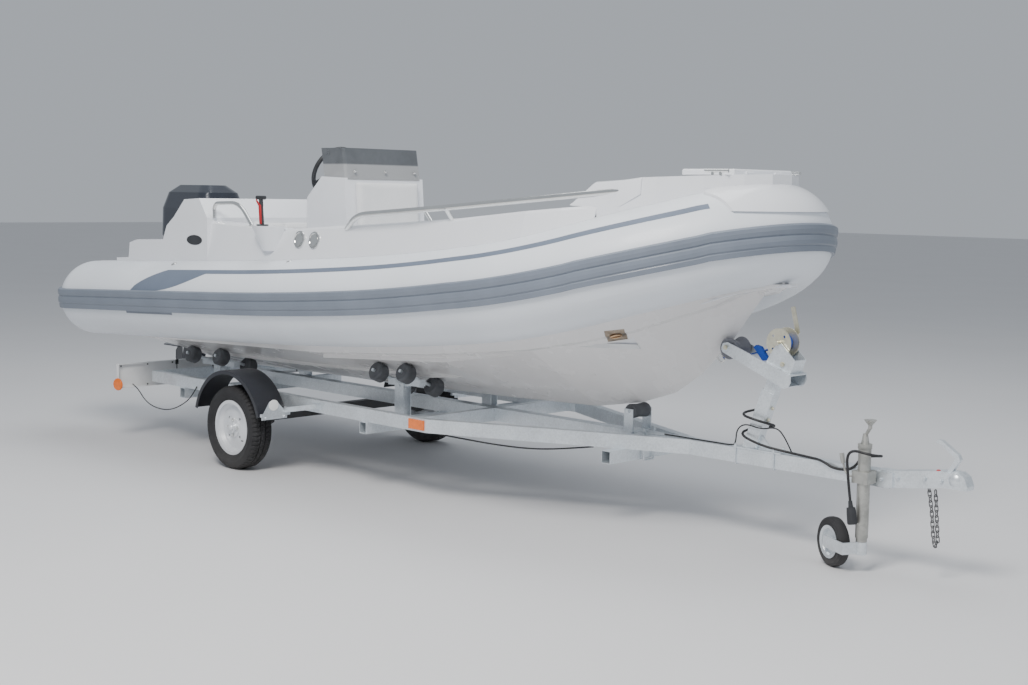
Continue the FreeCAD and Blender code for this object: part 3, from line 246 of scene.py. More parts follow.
def smoked():
    """Smoked acrylic with a pale foot."""
    m, tree, shader = new_material("smoked_acrylic")
    place = node(tree, "ShaderNodeTexCoord").outputs["Object"]
    cloud = texture(tree, place, "Noise", Scale=26.0, Detail=7.0)
    smoke = ramp(tree, cloud, (0.10, 0.11, 0.12), (0.14, 0.15, 0.165))
    foot = spread(tree, height_over(tree, place), 1.0, 0.0, *SCREEN_FOOT)
    tree.links.new(blend(tree, foot, smoke, (0.40, 0.41, 0.42, 1)), shader.inputs["Base Color"])
    tree.links.new(spread(tree, cloud, 0.04, 0.16), shader.inputs["Roughness"])
    shader.inputs["Alpha"].default_value = 0.8
    shader.inputs["Coat Weight"].default_value = 0.5
    return m


SMOKED = smoked()

# columns: material, CAD nodes
FINISHES = [
    (TUBE, "tube_starboard tube_port tube_bow"),
    (STRAKE, "rub_strake"),
    (GEL, "coaming_starboard coaming_port bow_deck bow_locker_lid stern_moulding console front_seat_base"),
    (HULL, "hull"),
    (FLOOR_GEL, "cockpit_floor"),
    (SMOKED, "windscreen"),
    (BLACK, "steering_wheel control_lever lead_plug"),
    (GUARD, "mudguards"),
    (STEEL, "handrails deck_fillers deck_cleats"),
    (MOTOR, "motor_bracket swivel_bracket motor_leg propeller"),
    (COWL, "motor_cowl"),
    (ENGINE, "engine_block"),
    (ZINC, "drawbar side_rails cross_members mudguard_brackets roller_cradles winch_post coupling "
           "coupling_handle jockey_fork jockey_rim"),
    (BLUE, "winch_strap"),
    (YELLOW_ZINC, "winch"),
    (DULL_ZINC, "jockey_tube jockey_leg"),
    (BLACK_STEEL, "axle"),
    (RIM, "rim_starboard rim_port"),
    (TYRE, "tyre_starboard tyre_port jockey_wheel"),
    (RUBBER, "rollers"),
    (GREY_RUBBER, "bow_roller"),
    (BOARD, "light_board"),
    (RED_LENS, "rear_lamps"),
    (AMBER, "side_markers"),
    (VINYL, "console_pad front_seat_cushion bench_cushion backrest_cushion"),
    (CABLE, "drawbar_lead thin_cable board_lead rail_cable"),
]
for material, names in FINISHES:
    for name in names.split():
        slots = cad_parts[name].data.materials
        slots.clear()
        slots.append(material)


# Mesh helpers

def put(obj, body=ROOT):
    bpy.context.scene.collection.objects.link(obj)
    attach(obj, body)
    return obj


def piece(name, bm, material, body=ROOT, angle=32):
    """Turn a bmesh into a smooth-shaded object that rides on a body."""
    bmesh.ops.recalc_face_normals(bm, faces=bm.faces)
    mesh = bpy.data.meshes.new(name)
    bm.to_mesh(mesh)
    bm.free()
    mesh.shade_smooth()
    mesh.set_sharp_from_angle(angle=math.radians(angle))
    mesh.materials.append(material)
    return put(bpy.data.objects.new(name, mesh), body)


def round_steps(count):
    """The angles of a full turn in equal steps."""
    return [2 * math.pi * k / count for k in range(count)]


def skin(bm, rings, caps=True, wrap=False, loop=True):
    """Faces between rings of points; wrap closes the row of rings, loop closes each ring."""
    grid = [[bm.verts.new(p) for p in ring] for ring in rings]
    count, width = len(grid), len(grid[0])
    for a in range(count if wrap else count - 1):
        b = (a + 1) % count
        for k in range(width if loop else width - 1):
            m = (k + 1) % width
            bm.faces.new((grid[a][k], grid[a][m], grid[b][m], grid[b][k]))
    if caps and not wrap:
        bm.faces.new(grid[0])
        bm.faces.new(grid[-1][::-1])


def lathe(bm, profile, centre, axis, count=32):
    """Revolve (radius, height) pairs about an axis through a centre."""
    axis = Vector(axis).normalized()
    first = axis.orthogonal().normalized()
    second = axis.cross(first)
    rings = []
    for radius, height in profile:
        rings.append([Vector(centre) + axis * height + (first * math.cos(t) + second * math.sin(t)) * radius
                      for t in round_steps(count)])
    skin(bm, rings)


def pipe(bm, points, radius, count=10, closed=False):
    """A round bar along points."""
    rings = []
    last = len(points) - 1
    turn = None
    for k, p in enumerate(points):
        if closed:
            ahead = points[(k + 1) % len(points)] - points[k - 1]
        else:
            ahead = points[min(k + 1, last)] - points[max(k - 1, 0)]
        ahead = ahead.normalized()
        if turn is None:
            turn = ahead.orthogonal().normalized()
        turn = (turn - ahead * turn.dot(ahead)).normalized()
        other = ahead.cross(turn)
        rings.append([p + (turn * math.cos(t) + other * math.sin(t)) * radius for t in round_steps(count)])
    skin(bm, rings, wrap=closed)


def slab(bm, outline, origin, along, upward, depth, edge=0.0):
    """A plate from (a, b) pairs; it grows from origin along the cross of its two directions."""
    along, upward = Vector(along).normalized(), Vector(upward).normalized()
    out = along.cross(upward).normalized()
    base = [Vector(origin) + along * a + upward * b for a, b in outline]
    if edge:
        middle = sum(base, Vector()) / len(base)
        inset = [p + (middle - p).normalized() * edge for p in base]
        skin(bm, [base, [p + out * (depth - edge) for p in base], [p + out * depth for p in inset]])
    else:
        skin(bm, [base, [p + out * depth for p in base]])


def bolt(bm, place, axis, size):
    """A washer with a hexagon head on it, size across in metres."""
    lathe(bm, [(size * 0.62, 0), (size * 0.62, size * 0.1)], place, axis, 20)
    head = [(size * 0.5, size * 0.1), (size * 0.5, size * 0.42), (size * 0.42, size * 0.5)]
    lathe(bm, head, place, axis, 6)


def dome_nut(bm, place, axis, size):
    rows = [(size * 0.6, 0), (size * 0.6, size * 0.15), (size * 0.5, size * 0.18), (size * 0.48, size * 0.5),
            (size * 0.36, size * 0.72), (size * 0.12, size * 0.82)]
    lathe(bm, rows, place, axis, 16)


def millimetres(*rows):
    """Rows of sizes in millimetres, turned into metres."""
    return [tuple(value * MM for value in row) for row in rows]


# Air tubes: the centre line and bands on their skin

TUBE_RADIUS = 255.0
TUBE_POINTS = [(-1740, -775, 970), (600, -775, 1075), (1650, -775, 1155), (2483, -775, 1262),
               (3034, -547, 1430), (3384, -197, 1557), (3384, 197, 1557)]
CORNER_SHARE = 0.49  # of the shorter leg, taken by the arc at a corner
ARC_STEPS = 12
LINE_STEP = 60


def tube_line():
    """Samples of the starboard centre line, with tangent arcs at its corners."""
    corners = [Vector(p) for p in TUBE_POINTS]
    line = [corners[0]]
    for before, here, after in zip(corners, corners[1:], corners[2:]):
        reach = CORNER_SHARE * min((here - before).length, (after - here).length)
        start = here + (before - here).normalized() * reach
        into, out = (here - before).normalized(), (after - here).normalized()
        turn = into.angle(out)
        radius = reach / math.tan(turn / 2)
        inward = (out - into * into.dot(out)).normalized()
        middle = start + inward * radius
        for step in range(ARC_STEPS + 1):
            a = turn * step / ARC_STEPS
            line.append(middle - inward * radius * math.cos(a) + into * radius * math.sin(a))
    fine = []
    for a, b in zip(line, line[1:]):
        if (b - a).length < 1:
            continue
        steps = max(1, int((b - a).length / LINE_STEP))
        fine += [a.lerp(b, k / steps) for k in range(steps)]
    return [p for p in fine if p.y <= 0]


LINE = tube_line()
DISTANCE = [0.0]
for first, second in zip(LINE, LINE[1:]):
    DISTANCE.append(DISTANCE[-1] + (second - first).length)


def on_tube(s, degrees, lift, side=-1):
    """A point on the tube's skin: distance along it, angle above its widest line, height off the skin."""
    s = min(max(s, 0.0), DISTANCE[-1] - 1)
    k = max(i for i, d in enumerate(DISTANCE) if d <= s)
    k = min(k, len(LINE) - 2)
    share = (s - DISTANCE[k]) / (DISTANCE[k + 1] - DISTANCE[k])
    centre = LINE[k].lerp(LINE[k + 1], share)
    before, after = LINE[max(k - 1, 0)], LINE[min(k + 2, len(LINE) - 1)]
    ahead = ((LINE[k + 1] - LINE[k]) * 2 + (after - LINE[k + 1]) * share + (LINE[k] - before) * (1 - share))
    ahead = ahead.normalized()
    out = ahead.cross(UP).normalized()
    rise = out.cross(ahead)
    a = math.radians(degrees)
    p = centre + (out * math.cos(a) + rise * math.sin(a)) * (TUBE_RADIUS + lift)
    return at(p.x, -side * p.y, p.z)


def distance_at(x):
    return next(d for d, p in zip(DISTANCE, LINE) if p.x >= x)


PATCH_STEPS = 5
PATCH_ROOT = -1.0  # a patch's underside lies this far under the skin


def skin_patch(name, rows, material, side, lift=1.2):
    """A thin patch glued on the tube. Rows hold the distance and the angles of its lower and upper edge."""
    bm = bmesh.new()
    rings = []
    for s, low, high in rows:
        angles = [low + (high - low) * k / PATCH_STEPS for k in range(PATCH_STEPS + 1)]
        top = [on_tube(s, a, lift, side) for a in angles]
        bottom = [on_tube(s, a, PATCH_ROOT, side) for a in reversed(angles)]
        rings.append(top + bottom)
    skin(bm, rings)
    piece(name, bm, material)


# Angles above the tube's widest line, in degrees, and places along it as x
STRIPE_LOW, STRIPE_HIGH = 43.5, 51.0
STRAKE_TOP = 15.5
SWOOSH_TIP = 0.6
SWOOSH_START, SWOOSH_END, STRIPE_END = -890.0, -110.0, 3255.0
JOINT_LOW, JOINT_HIGH = -19.0, -14.0
SEAMS = (-900, 640, 2010, 3060)
SEAM_PROFILE = [(-14, -0.6), (-13, 0.5), (13, 0.5), (14, -0.6)]  # distance from its middle, height
WELT_ANGLE, WELT_START, WELT_END, WELT_RADIUS = 89.0, -1730, 3060, 2.2


def stripe(side, word):
    """The even stripe from the swoosh to the bow."""
    count = 90
    join, stop = distance_at(SWOOSH_END), distance_at(STRIPE_END)
    rows = [(join + (stop - join) * k / count, STRIPE_LOW, STRIPE_HIGH) for k in range(count + 1)]
    skin_patch("stripe_" + word, rows, STRIPE, side)


def swoosh(side, word):
    """The stripe's aft end, which sweeps down to the strake."""
    count = 24
    start, join = distance_at(SWOOSH_START), distance_at(SWOOSH_END)
    foot = STRAKE_TOP + SWOOSH_TIP
    rows = []
    for k in range(count + 1):
        share = k / count
        low = STRAKE_TOP + (STRIPE_LOW - STRAKE_TOP) * max(0.0, (share - 0.35) / 0.65) ** 1.8
        high = foot + (STRIPE_HIGH - STRAKE_TOP - SWOOSH_TIP) * min(1.0, share / 0.42) ** 0.75
        rows.append((start + (join - start) * share, low, high))
    skin_patch("swoosh_" + word, rows, STRIPE, side)


def tube_bands(side, word):
    """The joint of the strake's aft end, the seams between the tube's panels and the welt on top."""
    rows = [(distance_at(x), JOINT_LOW, JOINT_HIGH) for x in range(-950, -409, 60)]
    skin_patch("strake_joint_" + word, rows, STRAKE, side, 2.5)
    for number, x in enumerate(SEAMS):
        s = distance_at(x)
        bm = bmesh.new()
        skin(bm, [[on_tube(s + ds, a, lift, side) for a in range(-100, 96, 6)] for ds, lift in SEAM_PROFILE],
             caps=False, loop=False)
        piece("tube_seam_%s_%d" % (word, number), bm, TUBE)
    count = 110
    first, last = distance_at(WELT_START), distance_at(WELT_END)
    bm = bmesh.new()
    pipe(bm, [on_tube(first + (last - first) * k / count, WELT_ANGLE, 0.5, side) for k in range(count + 1)],
         WELT_RADIUS * MM, 8)
    piece("tube_welt_" + word, bm, PIPING)


for side, word in SIDE_WORDS:
    stripe(side, word)
    swoosh(side, word)
    tube_bands(side, word)


# Road wheels

WHEEL_RADIUS = 261  # also the axle's height
WHEEL_OUT = 789  # from the boat's middle to the wheel's
TYRE_STEPS = 224
# Offsets across the tread, and (radius, offset) down one sidewall
TREAD_OFFSETS = [-62, -56, -50, -44, -38, -33.5, -32.5, -27, -21, -20.3, -13.7, -13, -7, -1.2,
                 1.2, 7, 13, 13.7, 20.3, 21, 27, 32.5, 33.5, 38, 44, 50, 56, 62]
SIDEWALL = [(172.8, -57), (182, -64), (186, -66.5), (189, -66.5), (192, -68), (214, -77), (218, -78),
            (222, -78), (225, -77.2), (238, -76), (248, -70)]
SHOULDER = 44  # the tread falls away outside this offset
BORE_RADIUS = 160


def tread_cut(step, offset):
    """How deep the tread is cut at a step round the tyre and an offset across it."""
    away = abs(offset)
    shifted = step + int(offset > 0) * 2
    if abs(away - 17) < 3.4:
        return 7.0
    if away > 33:
        return 6.0 if step % 4 == 0 else 0.0
    if away < 14:
        return 4.5 if shifted % 6 == 0 else 0.0
    return 5.5 if shifted % 4 == 1 else 0.0


def tyre(side, word):
    bm = bmesh.new()
    rings = []
    for step, a in enumerate(round_steps(TYRE_STEPS)):
        profile = list(SIDEWALL)
        for offset in TREAD_OFFSETS:
            edge = max(0.0, abs(offset) - SHOULDER)
            profile.append((WHEEL_RADIUS - edge * edge * 0.024 - tread_cut(step, offset), offset))
        profile += [(r, -h) for r, h in reversed(SIDEWALL)]
        profile += [(BORE_RADIUS, side * h) for h in (56, -56)]
        rings.append([at(r * math.cos(a), side * (WHEEL_OUT + side * h), WHEEL_RADIUS + r * math.sin(a))
                      for r, h in profile])
    skin(bm, rings, wrap=True)
    obj = piece("road_tyre_" + word, bm, TYRE, "wheel_" + word, 28)
    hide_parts("tyre_" + word)


def on_wheel(side, radius, degrees, out):
    """A place on the wheel: radius, angle above the forward line, offset outward from its middle."""
    a = math.radians(degrees)
    return at(radius * math.cos(a), side * (WHEEL_OUT + out), WHEEL_RADIUS + radius * math.sin(a))


BOLT_CIRCLE = 49
VALVE_ANGLE = -38
for side, word in SIDE_WORDS:
    tyre(side, word)
    out = Vector((0, side, 0))
    bm = bmesh.new()
    for number in range(4):
        bolt(bm, on_wheel(side, BOLT_CIRCLE, 90 * number, 44), out, 19 * MM)
    piece("wheel_bolts_" + word, bm, STEEL, "wheel_" + word)
    bm = bmesh.new()
    lathe(bm, millimetres((21, 0), (21, 4), (17, 9), (6, 11)), on_wheel(side, 0, 0, 61), out, 28)
    piece("hub_cap_" + word, bm, RIM, "wheel_" + word)
    bm = bmesh.new()
    a = math.radians(VALVE_ANGLE)
    stem = millimetres((5, 0), (5, 6), (3.2, 8), (3.2, 32), (2.4, 34))
    lean = (-0.35 * math.cos(a), side * 0.8, -0.35 * math.sin(a))
    lathe(bm, stem, on_wheel(side, 132, VALVE_ANGLE, 18), lean, 12)
    piece("tyre_valve_" + word, bm, BLACK, "wheel_" + word)


# Cushions

CLOTH_FRAMES = 20
SEAM_HALF, SEAM_DEPTH = 0.011, 0.009
CUSHION_MARGIN = 0.004  # how far a cushion may pass its node's box
PRESSURE = 4.0


def baked(obj):
    """The object's mesh with its modifiers applied."""
    shaped = obj.evaluated_get(bpy.context.evaluated_depsgraph_get())
    return bpy.data.meshes.new_from_object(shaped)


def pressed(obj, pressure, cap):
    """Swell a closed mesh with cloth pressure; no vertex moves further than cap."""
    start = [v.co.copy() for v in obj.data.vertices]
    cloth = obj.modifiers.new("swell", "CLOTH")
    cloth.settings.quality = 5
    cloth.settings.use_pressure = True
    cloth.settings.uniform_pressure_force = pressure
    cloth.settings.effector_weights.gravity = 0
    cloth.point_cache.frame_start = 1
    cloth.point_cache.frame_end = CLOTH_FRAMES
    scene = bpy.context.scene
    for number in range(1, CLOTH_FRAMES + 1):
        scene.frame_set(number)
    mesh = baked(obj)
    for vertex, home in zip(mesh.vertices, start):
        move = vertex.co - home
        if move.length > cap:
            vertex.co = home + move.normalized() * cap
    obj.modifiers.clear()
    obj.data = mesh
    scene.frame_set(1)


def cushion(name, node_name, inset, voxel, cap, seams, fill):
    """A padded piece grown from the node's solid, with seams pressed in."""
    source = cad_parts[node_name]
    obj = bpy.data.objects.new(name, source.data.copy())
    bpy.context.scene.collection.objects.link(obj)
    remesh = obj.modifiers.new("even", "REMESH")
    remesh.mode = "VOXEL"
    remesh.voxel_size = voxel
    obj.data = baked(obj)
    obj.modifiers.clear()
    for vertex in obj.data.vertices:
        vertex.co -= vertex.normal * inset
    pressed(obj, PRESSURE, cap)
    lo, hi = (Vector(p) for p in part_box(node_name))
    size = hi - lo
    for vertex in obj.data.vertices:
        dent = 0.0
        for axis, share in seams:
            gap = abs(vertex.co[axis] - (lo[axis] + size[axis] * share))
            dent = max(dent, math.exp(-(gap / SEAM_HALF) ** 2))
        vertex.co -= vertex.normal * dent * SEAM_DEPTH
    for vertex in obj.data.vertices:
        for axis in range(3):
            vertex.co[axis] = min(max(vertex.co[axis], lo[axis] - CUSHION_MARGIN), hi[axis] + CUSHION_MARGIN)
    smooth = obj.modifiers.new("smooth", "SMOOTH")
    smooth.factor = 0.5
    smooth.iterations = 2
    obj.data = baked(obj)
    obj.modifiers.clear()
    obj.data.shade_smooth()
    obj.data.materials.clear()
    obj.data.materials.append(VINYL)
    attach(obj, ROOT)
    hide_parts(node_name)


# columns: name, node, inset, voxel, cap, seams as (axis, share of the node's width), fill
for row in [
    ("pad_console", "console_pad", 0.003, 0.006, 0.006, [], 0.85),
    ("pad_front_seat", "front_seat_cushion", 0.006, 0.007, 0.012, [(1, 0.5)], 0.8),
    ("pad_bench", "bench_cushion", 0.007, 0.009, 0.014, [(1, 0.333), (1, 0.667)], 0.8),
    ("pad_backrest", "backrest_cushion", 0.006, 0.008, 0.012, [(1, 0.25), (1, 0.5), (1, 0.75)], 0.8),
]:
    cushion(*row)


# Cords: the same points as in the part's source

# columns: name, diameter in mm, length in metres, far end, stiffness, lay, pieces on it, points
cord_rows = [
    ("drawbar_lead", 13, 1.971, "plug", "medium", "loose", ["lead_plug"], [
        (3442, 36.8, 697), (3316, 66, 676), (3306, -70, 662), (3440, -74, 640), (3466, 58, 604),
        (3316, 64, 584), (3298, -64, 562), (3440, -66, 520), (3560, -22, 499), (3690, -20, 491),
        (3790, -54, 493), (3860, -50, 458), (3960, -52, 470), (4000, -34, 540), (4124, -36, 556),
        (4132, -162, 574), (3992, -160, 590), (3996, -150, 460), (4016, -152, 345)]),
    ("thin_cable", 7, 0.943, "object", "medium", "loose", [], [
        (2790, -14, 488), (2960, -16, 488), (3120, -14, 488), (3230, -16, 488), (3262, -28, 502),
        (3278, -44, 580), (3330, -46, 615), (3430, -46, 596), (3520, -44, 620), (3552, -10, 560),
        (3574, 14, 489)]),
    ("board_lead", 7, 0.748, "object", "medium", "hanging", [], [
        (-1321, -758, 392), (-1270, -752, 372), (-1190, -734, 280), (-1080, -712, 244), (-950, -690, 246),
        (-820, -668, 300), (-730, -655, 370), (-690, -650.9, 430)]),
    ("rail_cable", 9, 0.911, "object", "medium", "hanging", [], [
        (1650, -596, 403.3), (1790, -534, 388), (1960, -459, 370), (2160, -371, 362), (2340, -291, 380),
        (2480, -229, 403.3)]),
]
for name, diameter, length, far_end, stiffness, lay, extras, points in cord_rows:
    data = bpy.data.curves.new("free_" + name, "CURVE")
    data.dimensions = "3D"
    data.bevel_depth = diameter * MM / 2
    data.bevel_resolution = 3
    data.resolution_u = 10
    data.use_fill_caps = True
    spline = data.splines.new("NURBS")
    spline.points.add(len(points) - 1)
    for spot, p in zip(spline.points, points):
        spot.co = (*at(*p), 1)
    spline.order_u = 3
    spline.use_endpoint_u = True
    data.materials.append(CABLE)
    obj = put(bpy.data.objects.new("free_" + name, data))
    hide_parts(name)


# Trailer fittings

DRAWBAR_TOP = 484
STRAP_HALF, STRAP_RADIUS = 38, 5.0  # half the bar's width, and the strap bolt's radius


def u_bolt(name, x, low):
    """A strap bolt round the drawbar from the height low, with its nuts on top."""
    r, leg = STRAP_RADIUS, STRAP_HALF + STRAP_RADIUS
    bm = bmesh.new()
    pipe(bm, [at(x, -leg, DRAWBAR_TOP + 22), at(x, -leg, low + 6), at(x, -leg + 6, low - r),
              at(x, leg - 6, low - r), at(x, leg, low + 6), at(x, leg, DRAWBAR_TOP + 22)], r * MM, 10)
    for side in SIDES:
        bolt(bm, at(x, side * leg, DRAWBAR_TOP + 6), UP, 17 * MM)
    piece(name, bm, ZINC)


for number, x in enumerate((3272, 3503)):
    u_bolt("post_strap_%d" % number, x, 408)
for number, x in enumerate((2588, 2672)):
    u_bolt("cross_strap_%d" % number, x, 340)

bm = bmesh.new()
for x, y, z in [(4111, 50, 447), (4190, 38, 462), (4327, 38, 479), (4410, 38, 481)]:
    for side in SIDES:
        bolt(bm, at(x, side * y, z), (0, side, 0), 15 * MM)
piece("coupling_nuts", bm, ZINC)
bm = bmesh.new()
lathe(bm, millimetres((10, 0), (10, 5), (6, 8)), at(4386, -18, 521), UP, 18)
piece("coupling_indicator", bm, RED)

bm = bmesh.new()
slab(bm, millimetres((-37, -37), (37, -37), (37, 37), (-37, 37)), at(4149, 0, 446), ACROSS, UP, 3 * MM)
piece("drawbar_end_cap", bm, BLACK)

LINK_LENGTH, LINK_WIDTH, LINK_WIRE, LINK_PITCH = 0.033, 0.016, 0.0026, 0.0235
CHAIN_POINTS = [(4340, -14, 434), (4356, -9, 330), (4370, -8, 200), (4376, 0, 168), (4382, 9, 200),
                (4370, 9, 330), (4358, 12, 434)]


def chain_link(bm, centre, ahead, sideways):
    half, r = LINK_LENGTH / 2 - LINK_WIDTH / 2, LINK_WIDTH / 2
    points = []
    for end, start in ((half, -math.pi / 2), (-half, math.pi / 2)):
        for k in range(8):
            a = start + math.pi * k / 7
            points.append(centre + ahead * (end + r * math.cos(a)) + sideways * r * math.sin(a))
    pipe(bm, points, LINK_WIRE, 6, closed=True)


chain_line = [at(*p) for p in CHAIN_POINTS]
lengths = [0.0]
for a, b in zip(chain_line, chain_line[1:]):
    lengths.append(lengths[-1] + (b - a).length)
bm = bmesh.new()
number = 0
while number * LINK_PITCH < lengths[-1]:
    d = number * LINK_PITCH
    k = max(i for i, value in enumerate(lengths[:-1]) if value <= d)
    a, b = chain_line[k], chain_line[k + 1]
    ahead = (b - a).normalized()
    sideways = ahead.cross(ACROSS).normalized() if number % 2 else ACROSS
    sideways = (sideways - ahead * sideways.dot(ahead)).normalized()
    chain_link(bm, a + ahead * (d - lengths[k]), ahead, sideways)
    number += 1
piece("safety_chain", bm, CHAIN)

POST_FOOT = (3340, DRAWBAR_TOP)  # x and z where the winch post's front face starts
POST_LEAN = 0.367  # x gained per z
bm = bmesh.new()
for x, y, z in [(3545, 54, 933), (3217, 78, 991)]:
    for side in SIDES:
        bolt(bm, at(x, side * y, z), (0, side, 0), 20 * MM)
for z in (640, 700):
    bolt(bm, at(POST_FOOT[0] + (z - POST_FOOT[1]) * POST_LEAN + 40, 0, z), (0.94, 0, -0.34), 16 * MM)
piece("winch_nuts", bm, YELLOW_ZINC)
bm = bmesh.new()
lathe(bm, millimetres((37, -30), (40, -28), (40, 26), (37, 28)), at(3508, 0, 1034), ACROSS, 40)
piece("strap_on_drum", bm, BLUE)
bm = bmesh.new()
fold = [(3352, 1000), (3366, 1012), (3394, 1006), (3444, 944), (3430, 926), (3412, 932)]
skin(bm, [[at(x, y, z) for x, z in fold] for y in (-28, -25, -10, -7)])
piece("strap_fold", bm, BLUE)

# Rear board: reflectors on its ends, screws, seams and clips on its front
bm = bmesh.new()
for side in SIDES:
    lathe(bm, millimetres((42, 0), (42, 5), (39, 9), (20, 11)), at(-1322, side * 868, 398),
          (0.25, side * 0.97, 0), 36)
piece("board_reflectors", bm, AMBER)
board_low, board_high = (Vector(p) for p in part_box("light_board"))
board_front = board_high.x - 0.0005
tall = board_high.z - board_low.z
bm = bmesh.new()
for side in SIDES:
    for y in (0.44, 0.64, 0.846):
        for z in (board_low.z + 0.014, board_high.z - 0.014):
            lathe(bm, millimetres((6, 0), (5, 3)), (board_front, side * y, z), ALONG, 12)
    seam = Vector((board_front, side * 0.405, board_low.z))
    slab(bm, [(-0.003, 0), (0.003, 0), (0.003, tall), (-0.003, tall)], seam, ACROSS, UP, 2 * MM)
    clip = [(-0.011, tall - 0.03), (0.011, tall - 0.03), (0.011, tall + 0.004), (-0.011, tall + 0.004)]
    slab(bm, clip, seam, ACROSS, UP, 6 * MM, 1.5 * MM)
piece("board_screws", bm, BLACK)

# Reflectors and bolts in front of the mudguards
GUARD_FRONT = 382
bm = bmesh.new()
for side in SIDES:
    lathe(bm, millimetres((34, 0), (34, 4), (30, 7), (8, 8)), at(GUARD_FRONT, side * 800, 440),
          (1, side * 0.05, 0), 32)
piece("guard_reflectors", bm, WHITE_LENS)
bm = bmesh.new()
for side in SIDES:
    for y in (722, 860):
        bolt(bm, at(GUARD_FRONT, side * y, 366), ALONG, 14 * MM)
piece("guard_bolts", bm, ZINC)


# Boat fittings

bm = bmesh.new()
for y in (-340, -100, 140):
    dome_nut(bm, at(581, y, 1862), (0.97, 0, 0.22), 16 * MM)
piece("screen_nuts", bm, STEEL)

FILLERS = [at(x, -784, 1454) for x in (618, 762)]
FILLER_AXIS = (0, -0.99, 0.15)
for name, rows, count in [
    ("filler_rings", millimetres((51, 0), (50, 5), (40, 7), (37, 4), (37, 1)), 40),
    ("filler_caps", millimetres((35, 0), (34, 4), (10, 5)), 32),
]:
    bm = bmesh.new()
    for spot in FILLERS:
        lathe(bm, rows, spot, FILLER_AXIS, count)
    piece(name, bm, STEEL)
bm = bmesh.new()
for spot, axis in [((600, -843, 1321), (-0.05, -0.27, 0.96)), ((-590, -879, 1255), (-0.05, -0.41, 0.91))]:
    lathe(bm, millimetres((20, -2), (20, 3), (14, 8), (5, 9)), at(*spot), axis, 28)
piece("tube_valves", bm, STEEL)
bm = bmesh.new()
oval = [(88 * MM * math.cos(t), 32 * MM * math.sin(t)) for t in round_steps(40)]
slab(bm, oval, at(-475, -800, 1414), ALONG, UP, 3 * MM, 1.5 * MM)
piece("oval_plate", bm, BLACK)

# columns: corners of the starboard plate
RECESS = [(2737, -458, 1057), (2827, -407, 1071), (2795, -337, 1014), (2703, -386, 993)]
PLATE_STEPS = 12
PLATE_LIFTS = (0.5, 4.0, 4.0, 1.2)  # height off the hull from the plate's edge inward
PLATE_THICK = 4
EYE_ALONG, EYE_UP, EYE_WIRE = 0.27, 0.2, 5


def recess_plate(side, word):
    """A square plate that follows the bow's flank, with a raised rim and an eye in it."""
    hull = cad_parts["hull"]
    into = hull.matrix_world.inverted()
    a, b, c, d = [Vector(at(x, side * -y, z)) for x, y, z in RECESS]
    out = (b - a).cross(d - a).normalized()
    out = out if out.y * side > 0 else -out

    def spot(u, v, lift):
        """The hull's skin under a place of the plate, found with a ray from outside."""
        p = a.lerp(b, u).lerp(d.lerp(c, u), v)
        start, direction = into @ (p + out * 0.08), into.to_3x3() @ -out
        found, place, _, _ = hull.ray_cast(start, direction, distance=0.16)
        return (hull.matrix_world @ place if found else p) + out * lift * MM

    bm = bmesh.new()
    grid = []
    for j in range(PLATE_STEPS + 1):
        row = []
        for i in range(PLATE_STEPS + 1):
            edge = min(i, j, PLATE_STEPS - i, PLATE_STEPS - j)
            row.append(bm.verts.new(spot(i / PLATE_STEPS, j / PLATE_STEPS, PLATE_LIFTS[min(edge, 3)])))
        grid.append(row)
    for j in range(PLATE_STEPS):
        for i in range(PLATE_STEPS):
            bm.faces.new((grid[j][i], grid[j][i + 1], grid[j + 1][i + 1], grid[j + 1][i]))
    for part in bmesh.ops.extrude_face_region(bm, geom=list(bm.faces))["geom"]:
        if isinstance(part, bmesh.types.BMVert):
            part.co -= out * PLATE_THICK * MM
    piece("recess_plate_" + word, bm, DARK_PLATE)
    bm = bmesh.new()
    ring = [spot(0.5 + EYE_ALONG * math.cos(t), 0.5 + EYE_UP * math.sin(t), 6.0) for t in round_steps(24)]
    pipe(bm, ring, EYE_WIRE * MM, 8, closed=True)
    piece("recess_eye_" + word, bm, BRASS)


for side, word in SIDE_WORDS:
    recess_plate(side, word)

# Moulded flange under the bow; columns: x, half width, lower z, thickness
FLANGE = [(3168, 222, 1209, 10), (3200, 206, 1221, 13), (3270, 172, 1247, 15), (3340, 132, 1272, 16),
          (3390, 96, 1288, 16), (3430, 70, 1299, 16), (3490, 48, 1304, 16), (3558, 35, 1307, 16),
          (3563, 30, 1310, 11)]
rings = []
for x, half, low, thick in FLANGE:
    high = low + thick
    section = [(-half, low + 3), (-half + 4, low), (half - 4, low), (half, low + 3), (half, high - 4),
               (half - 5, high), (-half + 5, high), (-half, high - 4)]
    rings.append([at(x, y, z) for y, z in section])
bm = bmesh.new()
skin(bm, rings)
piece("bow_flange", bm, GEL)

# The deck's cheeks on the coamings; columns: x, base z, top z, outer y at the base and the top, width
CHEEKS = [(2666, 1690, 1694, 654, 653, 112), (2680, 1688, 1707, 651, 649, 112),
          (2786, 1684, 1801, 630, 619, 112), (2797, 1684, 1808, 628, 616, 112),
          (2880, 1684, 1813, 617, 606, 112), (2957, 1690, 1818, 610, 599, 112),
          (3045, 1750, 1832, 566, 560, 100)]
for side, word in SIDE_WORDS:
    rings = []
    for x, low, high, base, top, width in CHEEKS:
        r = min(14, (high - low) * 0.45)
        section = [(base, low), (top, high - r), (top - r * 0.3, high - r * 0.3), (top - r, high),
                   (top - width + r, high), (top - width, high - r), (base - width, low)]
        rings.append([at(x, side * y, z) for y, z in section])
    bm = bmesh.new()
    skin(bm, rings)
    piece("deck_cheek_" + word, bm, GEL, angle=40)

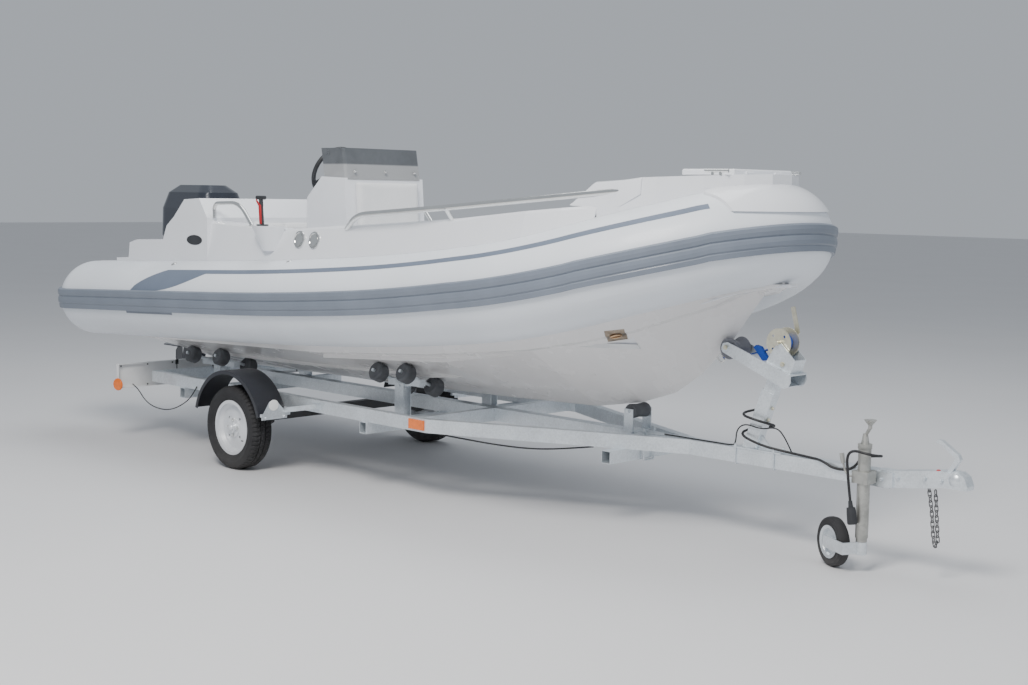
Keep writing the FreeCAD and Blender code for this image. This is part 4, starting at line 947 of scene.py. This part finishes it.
# The control lever's red side
bm = bmesh.new()
slab(bm, millimetres((-9, 0), (9, 0), (13, 112), (-30, 150), (-30, 138), (-8, 112)), at(262, -806, 1535),
     ALONG, (-0.1, 0, 1), 6 * MM, 1.5 * MM)
piece("lever_side", bm, RED)


# Camera, light and floor

PHOTO_WIDTH, FOCAL_PIXELS, SENSOR = 1028, 1471.69, 36.0
CAMERA_PLACE = Vector((7.6628 - MIDDLE, -6.0434, 1.7425))
YAW, PITCH, ROLL = 0.7839, 0.1008, 0.0161
FLOOR_HALF = 60.0


def camera():
    data = bpy.data.cameras.new("camera")
    data.sensor_width = SENSOR
    data.lens = SENSOR * FOCAL_PIXELS / PHOTO_WIDTH
    cam = bpy.data.objects.new("camera", data)
    ahead = Vector((-math.sin(YAW) * math.cos(PITCH), math.cos(YAW) * math.cos(PITCH), -math.sin(PITCH)))
    right = ahead.cross(UP).normalized()
    up = right.cross(ahead)
    rolled_right = math.cos(ROLL) * right + math.sin(ROLL) * up
    rolled_up = -math.sin(ROLL) * right + math.cos(ROLL) * up
    turn = Matrix((rolled_right, rolled_up, -ahead)).transposed().to_4x4()
    turn.translation = CAMERA_PLACE
    cam.matrix_world = turn
    bpy.context.scene.collection.objects.link(cam)
    bpy.context.scene.camera = cam


def lamp(name, place, aim, energy, size, colour):
    data = bpy.data.lights.new(name, "AREA")
    data.energy = energy
    data.color = colour
    data.size = size
    obj = bpy.data.objects.new(name, data)
    obj.location = place
    obj.rotation_euler = (Vector(aim) - Vector(place)).to_track_quat("-Z", "Y").to_euler()
    bpy.context.scene.collection.objects.link(obj)


def floor():
    m, tree, shader = new_material("floor")
    place = node(tree, "ShaderNodeTexCoord").outputs["Object"]
    cloud = texture(tree, place, "Noise", Scale=0.7, Detail=4.0)
    tree.links.new(ramp(tree, cloud, (0.66, 0.66, 0.67), (0.70, 0.70, 0.71)), shader.inputs["Base Color"])
    shader.inputs["Roughness"].default_value = 0.8
    mesh = bpy.data.meshes.new("floor")
    s = FLOOR_HALF
    mesh.from_pydata([(-s, -s, 0), (s, -s, 0), (s, s, 0), (-s, s, 0)], [], [(0, 1, 2, 3)])
    mesh.materials.append(m)
    obj = bpy.data.objects.new("floor", mesh)
    bpy.context.scene.collection.objects.link(obj)


camera()
floor()
world = bpy.data.worlds.new("world")
world.use_nodes = True
world.node_tree.nodes["Background"].inputs["Color"].default_value = (0.86, 0.92, 1.0, 1)
world.node_tree.nodes["Background"].inputs["Strength"].default_value = 0.5
bpy.context.scene.world = world
lamp("key", (3.5, -6.0, 7.5), (0, 0, 0.8), 820, 3.0, (1.0, 0.97, 0.93))
lamp("top", (-1.0, 1.5, 8.5), (0, 0, 0.8), 300, 6.0, (0.95, 0.98, 1.0))
lamp("side", (8.0, 1.0, 4.0), (1.5, 0, 0.8), 60, 4.0, (1.0, 1.0, 1.0))
